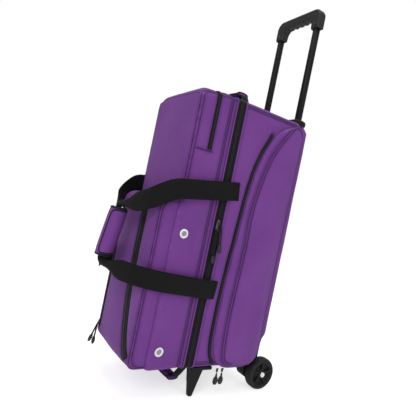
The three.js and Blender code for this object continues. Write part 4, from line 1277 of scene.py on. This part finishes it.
def slider(node, x, y, z, scale, direction, body, side=1.0):
    """A zipper slider: a plate and a bridge over it. Direction is the way that its nose points."""
    rings = []
    for height, shrink in ((0.0, 0.9), (0.5, 1.0), (1.4, 1.0), (1.9, 0.88)):
        size = shrink * scale
        level = x + side * height * scale
        rings.append([(level, y + a * size, z + direction * b * size) for a, b in SLIDER_OUTLINE])
    place(loft(node + "_body", rings, gunmetal), "black_plastic", body, node)
    arch = spline([(0.8, -5), (2.9, -4), (3.6, 0), (2.9, 4), (0.8, 5.2)], 5)
    path = [(x + side * a * scale, y, z + direction * b * scale) for a, b in arch]
    place(tube(node + "_bridge", path, 1.0 * scale, gunmetal, 8), "black_plastic", body)


def hang_pull(cord_name, end_name, loop, at, bottom, half_width, depth, radius, body, *nodes):
    """A loop of cord in a moulded end. At places a point that is a across, b deep and z high."""
    cord = tube(cord_name, [at(a, 0, z) for a, z in spline(loop, 6)], radius, binding_cloth, 8)
    place(cord, "black_plastic", body, *nodes)
    rings = []
    for t in np.linspace(0, 1, 13):
        wide = half_width * (math.sin(math.pi * (0.12 + 0.76 * t)) ** 0.5) * (1.0 + 0.12 * math.cos(t * 26))
        section = ring_section(wide, wide * 0.85, 14, 2.6)
        rings.append([at(a, b * depth, bottom + PULL_END * t) for a, b in section])
    place(loft(end_name, rings, rubber), "black_plastic", body)


def cord_pull(name, x, y, top, bottom, body, node, spread=3.4, lean=0.0, end_width=6.4):
    """A pull that hangs from its slider on a side of the bag, and may swing to the back by its lean."""
    middle = (top + bottom) / 2 + 6
    right = [(0.9, bottom + 12), (spread * 0.6, bottom + PULL_END), (spread, middle), (spread * 0.7, top - 8)]
    loop = [*[(-a, z) for a, z in right], (0, top), *right[::-1]]

    def at(a, b, z):
        return x + b, y + a + lean * (top - z), z

    hang_pull(name + "_cord", name + "_end", loop, at, bottom, end_width, 0.6, 1.5, body, node)


def hinged_pull(node, body, **shape):
    """A pull on the side of the bag, in the place of its node."""
    low, high = box_mm(node)
    x, y, _ = centre_of(node)
    cord_pull(node, x, y, high[2], low[2], body, node, **shape)


def make_sliders():
    for level, direction, lean in (("upper", 1, 0.17), ("lower", -1, 0.09)):
        node = f"main_slider_{level}"
        _, y, z = centre_of(node)
        slider(node, HALF_WIDTH + 1.1, y, z, 1.2, direction, f"slider_{level}")
        hinged_pull(f"main_pull_{level}", f"pull_{level}", lean=lean)
    for end in ("front", "rear"):
        node = f"side_slider_{end}"
        _, y, z = centre_of(node)
        slider(node, HALF_WIDTH + 0.6, y, z, 0.8, -1, "tub")
        hinged_pull(f"side_pull_{end}", f"side_pull_{end}", spread=3.0, end_width=8.0)
    low, high = box_mm("shoe_slider")
    y = centre_of("shoe_slider")[1]
    slider("shoe_slider", high[0] - 0.2, y, high[2] - 7.5, 0.95, 1, "shoe_slider", -1.0)
    cord_pull("shoe_pull", low[0] + 0.2, y, high[2] - 8, low[2], "shoe_slider", "shoe_slider", 2.0)
    make_pocket_slider()


def make_pocket_slider():
    """The slider on the front pocket's far zipper, which faces forward."""
    low, high = box_mm("pocket_slider_far")
    x, front, back = centre_of("pocket_slider_far")[0], low[1], high[1]
    outline = [(-4.6, -7), (4.6, -7), (5, -3), (4, 3.5), (2.2, 7), (-2.2, 7), (-4, 3.5), (-5, -3)]
    rings = [[(x + a * k, back - h, high[2] - 7.5 + b * k) for a, b in outline]
             for h, k in ((0.0, 0.9), (0.5, 1.0), (1.6, 1.0), (2.1, 0.88))]
    place(loft("pocket_slider_body", rings, gunmetal), "black_plastic", "pocket_slider", "pocket_slider_far")
    top = high[2] - 9
    depth = front + 1.2
    for index, (swing, bottom) in enumerate(((0.30, low[2] + 5), (0.06, low[2] - 3))):
        right = [(0.9, bottom + 12), (2.2, bottom + 26), (1.6, top - 7)]
        loop = [*[(-a, z) for a, z in right], (0, top), *right[::-1]]
        hang_pull(f"pocket_pull_cord_{index}", f"pocket_pull_end_{index}", loop,
                  lambda a, b, z, swing=swing: (x + a, depth - swing * (top - z) + b, z), bottom,
                  5.8, 0.9, 1.4, "pocket_slider")


# ------------------------------------------------------------------ turned parts: wheels, grommets, rods
def turned(name, profile, centre, look, sides=56, notch=None):
    """A ring turned about x. The profile is a closed list of (distance along x, radius)."""
    rings = []
    for k in range(sides):
        angle = 2 * math.pi * k / sides
        ring = []
        for along, radius in profile:
            r = radius - (notch(k, radius) if notch else 0)
            ring.append((along, centre[0] + r * math.cos(angle), centre[1] + r * math.sin(angle)))
        rings.append(ring)
    return loft(name, rings, look, closed=True)


TREAD_DEPTH = 1.1
SPOKES = 5


def make_tyre(side, at_x, wide, centre, radius, rim):
    """The tyre, with two grooves round its tread and notches across it."""
    half_tread = [(1.2, rim), (0.2, rim + 3), (1.2, radius - 3), (5, radius - 0.7), (8.4, radius),
                  (9.2, radius - 1.6), (10.8, radius - 1.6), (11.6, radius)]
    tread = [*half_tread, *[(wide - a, r) for a, r in half_tread[::-1]]]

    def notch(k, r):
        return TREAD_DEPTH if k % 3 == 0 and r > radius - 4 else 0.0

    made = turned(f"tyre_tread_{side}", [(at_x(a), r) for a, r in tread], centre, tyre_rubber, 108, notch)
    place(made, "tyre", f"wheel_{side}", f"tyre_{side}")


def make_wheel_disc(side, at_x, wide, centre, rim):
    hub = [(1.2, 5.4), (1.2, 12.6), (8, 14), (10, 16), (10.4, 29), (3, 32.5), (1.6, 34), (1.6, rim - 0.3),
           (wide - 2, rim - 0.3), (wide - 1.4, rim - 1.6), (wide - 2.4, 33.6), (wide - 9, 30.5),
           (wide - 9.4, 15), (wide - 3, 12.2), (wide - 0.6, 10.5), (wide - 0.4, 5.4)]
    disc = turned(f"wheel_disc_{side}", [(at_x(a), r) for a, r in hub], centre, plastic, 72)
    place(disc, "black_plastic", f"wheel_{side}", f"wheel_hub_{side}")


def make_spoke(side, number, at_x, wide, centre):
    angle = 2 * math.pi * number / SPOKES + 0.3
    radial = np.array([0, math.cos(angle), math.sin(angle)])
    tangent = np.array([0, -math.sin(angle), math.cos(angle)])
    start = np.array([0, *centre])
    rings = []
    for r, half, top in ((9.5, 4.2, 2.6), (16, 3.4, 3.6), (24, 2.9, 3.8), (33.2, 3.8, 3.0)):
        middle = wide - 3.2 - top + 0.9
        rings.append([start + radial * r + tangent * a + [at_x(middle + b), 0, 0]
                      for a, b in ring_section(half, 3.2, 12, 3.0)])
    place(loft(f"wheel_spoke_{side}_{number}", rings, plastic), "black_plastic", f"wheel_{side}")


def make_wheels():
    for side, sign in (("near", 1), ("far", -1)):
        low, high = box_mm(f"tyre_{side}")
        centre = tuple(centre_of(f"tyre_{side}")[1:])
        radius = (high[2] - low[2]) / 2
        wide = high[0] - low[0]
        inner = low[0] if sign > 0 else high[0]
        rim = radius - 9.2

        def at_x(distance):
            return inner + sign * distance

        make_tyre(side, at_x, wide, centre, radius, rim)
        make_wheel_disc(side, at_x, wide, centre, rim)
        for number in range(SPOKES):
            make_spoke(side, number, at_x, wide, centre)
        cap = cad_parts[f"axle_{side}"]
        cap.data.materials.clear()
        cap.data.materials.append(bright)


MESH_RADIUS = 7.1


def make_grommets(tree):
    for level in ("upper", "lower"):
        node = f"vent_grommet_{level}"
        _, y, z = centre_of(node)
        x = max(box_mm(node)[0][0], tree.find_nearest(Vector((HALF_WIDTH, y, z)))[0][0]) - 0.4
        section = [(0, 6.8), (0, 12), (0.9, 12.1), (1.9, 11.2), (2.4, 9.6), (2.0, 8.0), (0.9, 6.9)]
        profile = [(x + a, r) for a, r in section]
        place(turned(f"{node}_ring", profile, (y, z), pale_enamel, 48), "bright_steel", "lid", node)
        centres, across = [], []
        for offset in np.linspace(-6.0, 6.0, 9):
            half = math.sqrt(MESH_RADIUS ** 2 - offset ** 2)
            centres += [(x + 0.55, y + offset, z), (x + 0.95, y, z + offset)]
            across += [(0, 0, half), (0, half, 0)]
        centres, across = np.array(centres), np.array(across)
        out = np.zeros_like(centres) + [0.32, 0, 0]
        side = unit(np.cross(out, across)) * 0.38
        backing = [(x - 0.3, 0.4), (x + 0.25, 0.4), (x + 0.25, 7.2), (x - 0.3, 7.2)]
        place(turned(f"{node}_backing", backing, (y, z), tan_gauze, 32), "bright_steel", "lid")
        mesh = instances(f"{node}_mesh", TOOTH_POINTS, TOOTH_FACES, centres, (across, side, out), grey_wire)
        place(mesh, "bright_steel", "lid")


def upright_tube(name, node, x, y, look, slot, body):
    """A straight tube on end in the place of its node, with a small bevel at both rims and a bore."""
    low, high = box_mm(node)
    radius, bottom, top = (high[0] - low[0]) / 2, low[2], high[2]
    profile = [(radius - 1.6, bottom), (radius - 0.5, bottom), (radius, bottom + 0.6), (radius, top - 0.6),
               (radius - 0.5, top), (radius - 1.6, top)]
    rings = [[(x + r * a, y + r * b, z) for r, z in profile] for a, b in circle(1.0, 40)]
    place(loft(name, rings, look, closed=True), slot, body, node)


RIVET_X = 79.5
RIVET_DOME = ((-0.8, 3.6), (0.4, 3.6), (1.0, 2.9), (1.35, 1.6), (1.45, 0.5))
COLLAR_PROFILE = ((11.6, 826), (15.5, 826), (15.5, 831), (14, 833.5), (11.6, 833.5))


def make_handle():
    for side in ("near", "far"):
        x, y, _ = centre_of(f"rod_{side}")
        upright_tube(f"handle_rod_{side}", f"rod_{side}", x, y, anodised, "black_tube", "handle")
        upright_tube(f"guide_tube_{side}", f"outer_tube_{side}", x, y, gunmetal, "bright_steel", "tub")
    moulded("handle_grip", "grip", 2.0, 4, rubber, "soft_grip", "handle")
    moulded("release_button", "grip_button", 1.2, 2, plastic, "black_plastic", "button")
    _, front, bottom = box_mm("grip")[0]
    y = centre_of("grip")[1]
    for side, x in (("near", RIVET_X), ("far", -RIVET_X)):
        dome = [[(x + a, front - 0.2 - h, bottom + 13 + b) for a, b in circle(r, 20)] for h, r in RIVET_DOME]
        place(loft(f"grip_rivet_{side}", dome, gunmetal), "black_tube", "handle")
        collar = [[(x + r * a, y + r * b, z) for r, z in COLLAR_PROFILE] for a, b in circle(1.0, 36)]
        place(loft(f"rod_collar_{side}", collar, plastic, closed=True), "black_plastic", "tub")


# ------------------------------------------------------------------ moulded and inner pieces
def make_plastics():
    moulded("top_bezel", "handle_bezel", 2.5, 3, plastic, "black_plastic", "tub")
    moulded("bottom_plate", "base_plate", 2.5, 3, plastic, "black_plastic", "tub")
    moulded("guide_brace", "tube_brace", 2.5, 2, plastic, "black_plastic", "tub")
    for side in ("near", "far"):
        moulded(f"corner_foot_{side}", f"foot_{side}", 1.8, 3, plastic, "black_plastic", "tub")
        moulded(f"wheel_bracket_{side}", f"wheel_housing_{side}", 2.4, 3, plastic, "black_plastic", "tub")


def quilted(name, node, body, look, slot, axis, pitch, depth):
    """A padded inner panel with quilting pressed into both faces."""
    made = moulded(name, node, 3.0, 4, look, slot, body)
    points = to_mm(coordinates(made))
    low, high = box_mm(node)
    middle = centre_of(node)[axis]
    others = [k for k in range(3) if k != axis]
    u, v = (points[:, k] for k in others)
    edge = np.ones(len(points))
    for k in others:
        edge *= smooth_step(points[:, k] - low[k], 2, 14) * smooth_step(high[k] - points[:, k], 2, 14)
    pattern = np.abs(np.sin(math.pi * (u + v) / pitch)) * np.abs(np.sin(math.pi * (u - v) / pitch))
    points[:, axis] += np.sign(points[:, axis] - middle) * depth * (pattern - 0.5) * edge
    set_coordinates(made, to_metres(points))


def make_inside():
    quilted("ball_seat_pad", "ball_pad", "tub", foam_look, "foam", 1, 60.0, 1.6)
    for level in ("upper", "lower"):
        quilted(f"divider_{level}", f"ball_divider_{level}", "tub", lining, "black_lining", 2, 48.0, 2.0)
    quilted("lid_lining_panel", "lid_divider", "lid", lining, "black_lining", 1, 70.0, 1.2)


# ------------------------------------------------------------------ studio
FLOOR_RADIUS = 3.2
WORLD_LIGHT = 0.42
LIGHTS = [("key_light", (1.9, -2.3, 2.3), (0, 0, 0.5), 1.8, 55),
          ("side_light", (2.6, 0.9, 1.3), (0, 0, 0.5), 1.6, 18),
          ("back_light", (-1.6, 2.2, 2.1), (0, 0, 0.5), 1.8, 32),
          ("low_light", (-2.2, -1.4, 1.0), (0, 0, 0.4), 1.6, 4),
          ("top_light", (0, 0, 3.2), (0, 0, 0), 2.6, 48)]


def make_floor():
    rim = [(x, y, 0) for x, y in circle(FLOOR_RADIUS, 48)]
    floor_mesh = bpy.data.meshes.new("studio_floor")
    floor_mesh.from_pydata(rim, [], [tuple(range(len(rim)))])
    floor_mesh.materials.append(floor_look())
    floor = bpy.data.objects.new("studio_floor", floor_mesh)
    bpy.context.scene.collection.objects.link(floor)


def make_world():
    """A white backdrop that lights the bag less than it shows to the camera."""
    world = bpy.data.worlds.new("studio")
    bpy.context.scene.world = world
    world.use_nodes = True
    nodes, links = world.node_tree.nodes, world.node_tree.links
    lighting = nodes["Background"]
    seen = nodes.new("ShaderNodeBackground")
    for background, strength in ((lighting, WORLD_LIGHT), (seen, 1.0)):
        background.inputs["Color"].default_value = (1, 1, 1, 1)
        background.inputs["Strength"].default_value = strength
    path = nodes.new("ShaderNodeLightPath")
    mix = nodes.new("ShaderNodeMixShader")
    links.new(path.outputs["Is Camera Ray"], mix.inputs[0])
    links.new(lighting.outputs[0], mix.inputs[1])
    links.new(seen.outputs[0], mix.inputs[2])
    links.new(mix.outputs[0], nodes["World Output"].inputs["Surface"])


def make_light(name, place_at, aim, size, power):
    light = bpy.data.lights.new(name, "AREA")
    light.shape, light.size, light.energy = "DISK", size, power
    made = bpy.data.objects.new(name, light)
    made.location = place_at
    made.rotation_mode = "QUATERNION"
    made.rotation_quaternion = (Vector(aim) - Vector(place_at)).to_track_quat("-Z", "Y")
    bpy.context.scene.collection.objects.link(made)


CAMERA_PLACE = (0.9673, -0.6176, 0.5038)
CAMERA_TURN, CAMERA_RISE, CAMERA_ROLL = (math.radians(a) for a in (56.71, -0.21, 11.78))
CAMERA_LENS = 33.40


def make_camera():
    data = bpy.data.cameras.new("camera")
    data.lens, data.sensor_width = CAMERA_LENS, 36.0
    made = bpy.data.objects.new("camera", data)
    bpy.context.scene.collection.objects.link(made)
    level = math.cos(CAMERA_RISE)
    back = Vector((math.sin(CAMERA_TURN) * level, -math.cos(CAMERA_TURN) * level, math.sin(CAMERA_RISE)))
    right = Vector((math.cos(CAMERA_TURN), math.sin(CAMERA_TURN), 0))
    up = back.cross(right)
    turned_right = right * math.cos(CAMERA_ROLL) + up * math.sin(CAMERA_ROLL)
    turned_up = up * math.cos(CAMERA_ROLL) - right * math.sin(CAMERA_ROLL)
    turn = Matrix((turned_right, turned_up, back)).transposed()
    made.matrix_world = Matrix.Translation(CAMERA_PLACE) @ turn.to_4x4()
    bpy.context.scene.camera = made
    bpy.context.scene.view_settings.view_transform = "Standard"


make_floor()
make_world()
for light_row in LIGHTS:
    make_light(*light_row)
make_camera()
tub_tree = make_tub()
lid_tree = make_lid()
make_front_pocket()
make_side_pocket()
make_side_zipper(tub_tree)
make_mouth_binding()
make_back_cover()
make_main_zipper()
make_fabric_hinge()
make_near_loop()
make_far_loop()
make_anchor_threads()
make_wrap()
make_grab(TOP_GRAB)
make_grab(BOTTOM_GRAB)
make_sliders()
make_wheels()
make_grommets(lid_tree)
make_handle()
make_plastics()
make_inside()
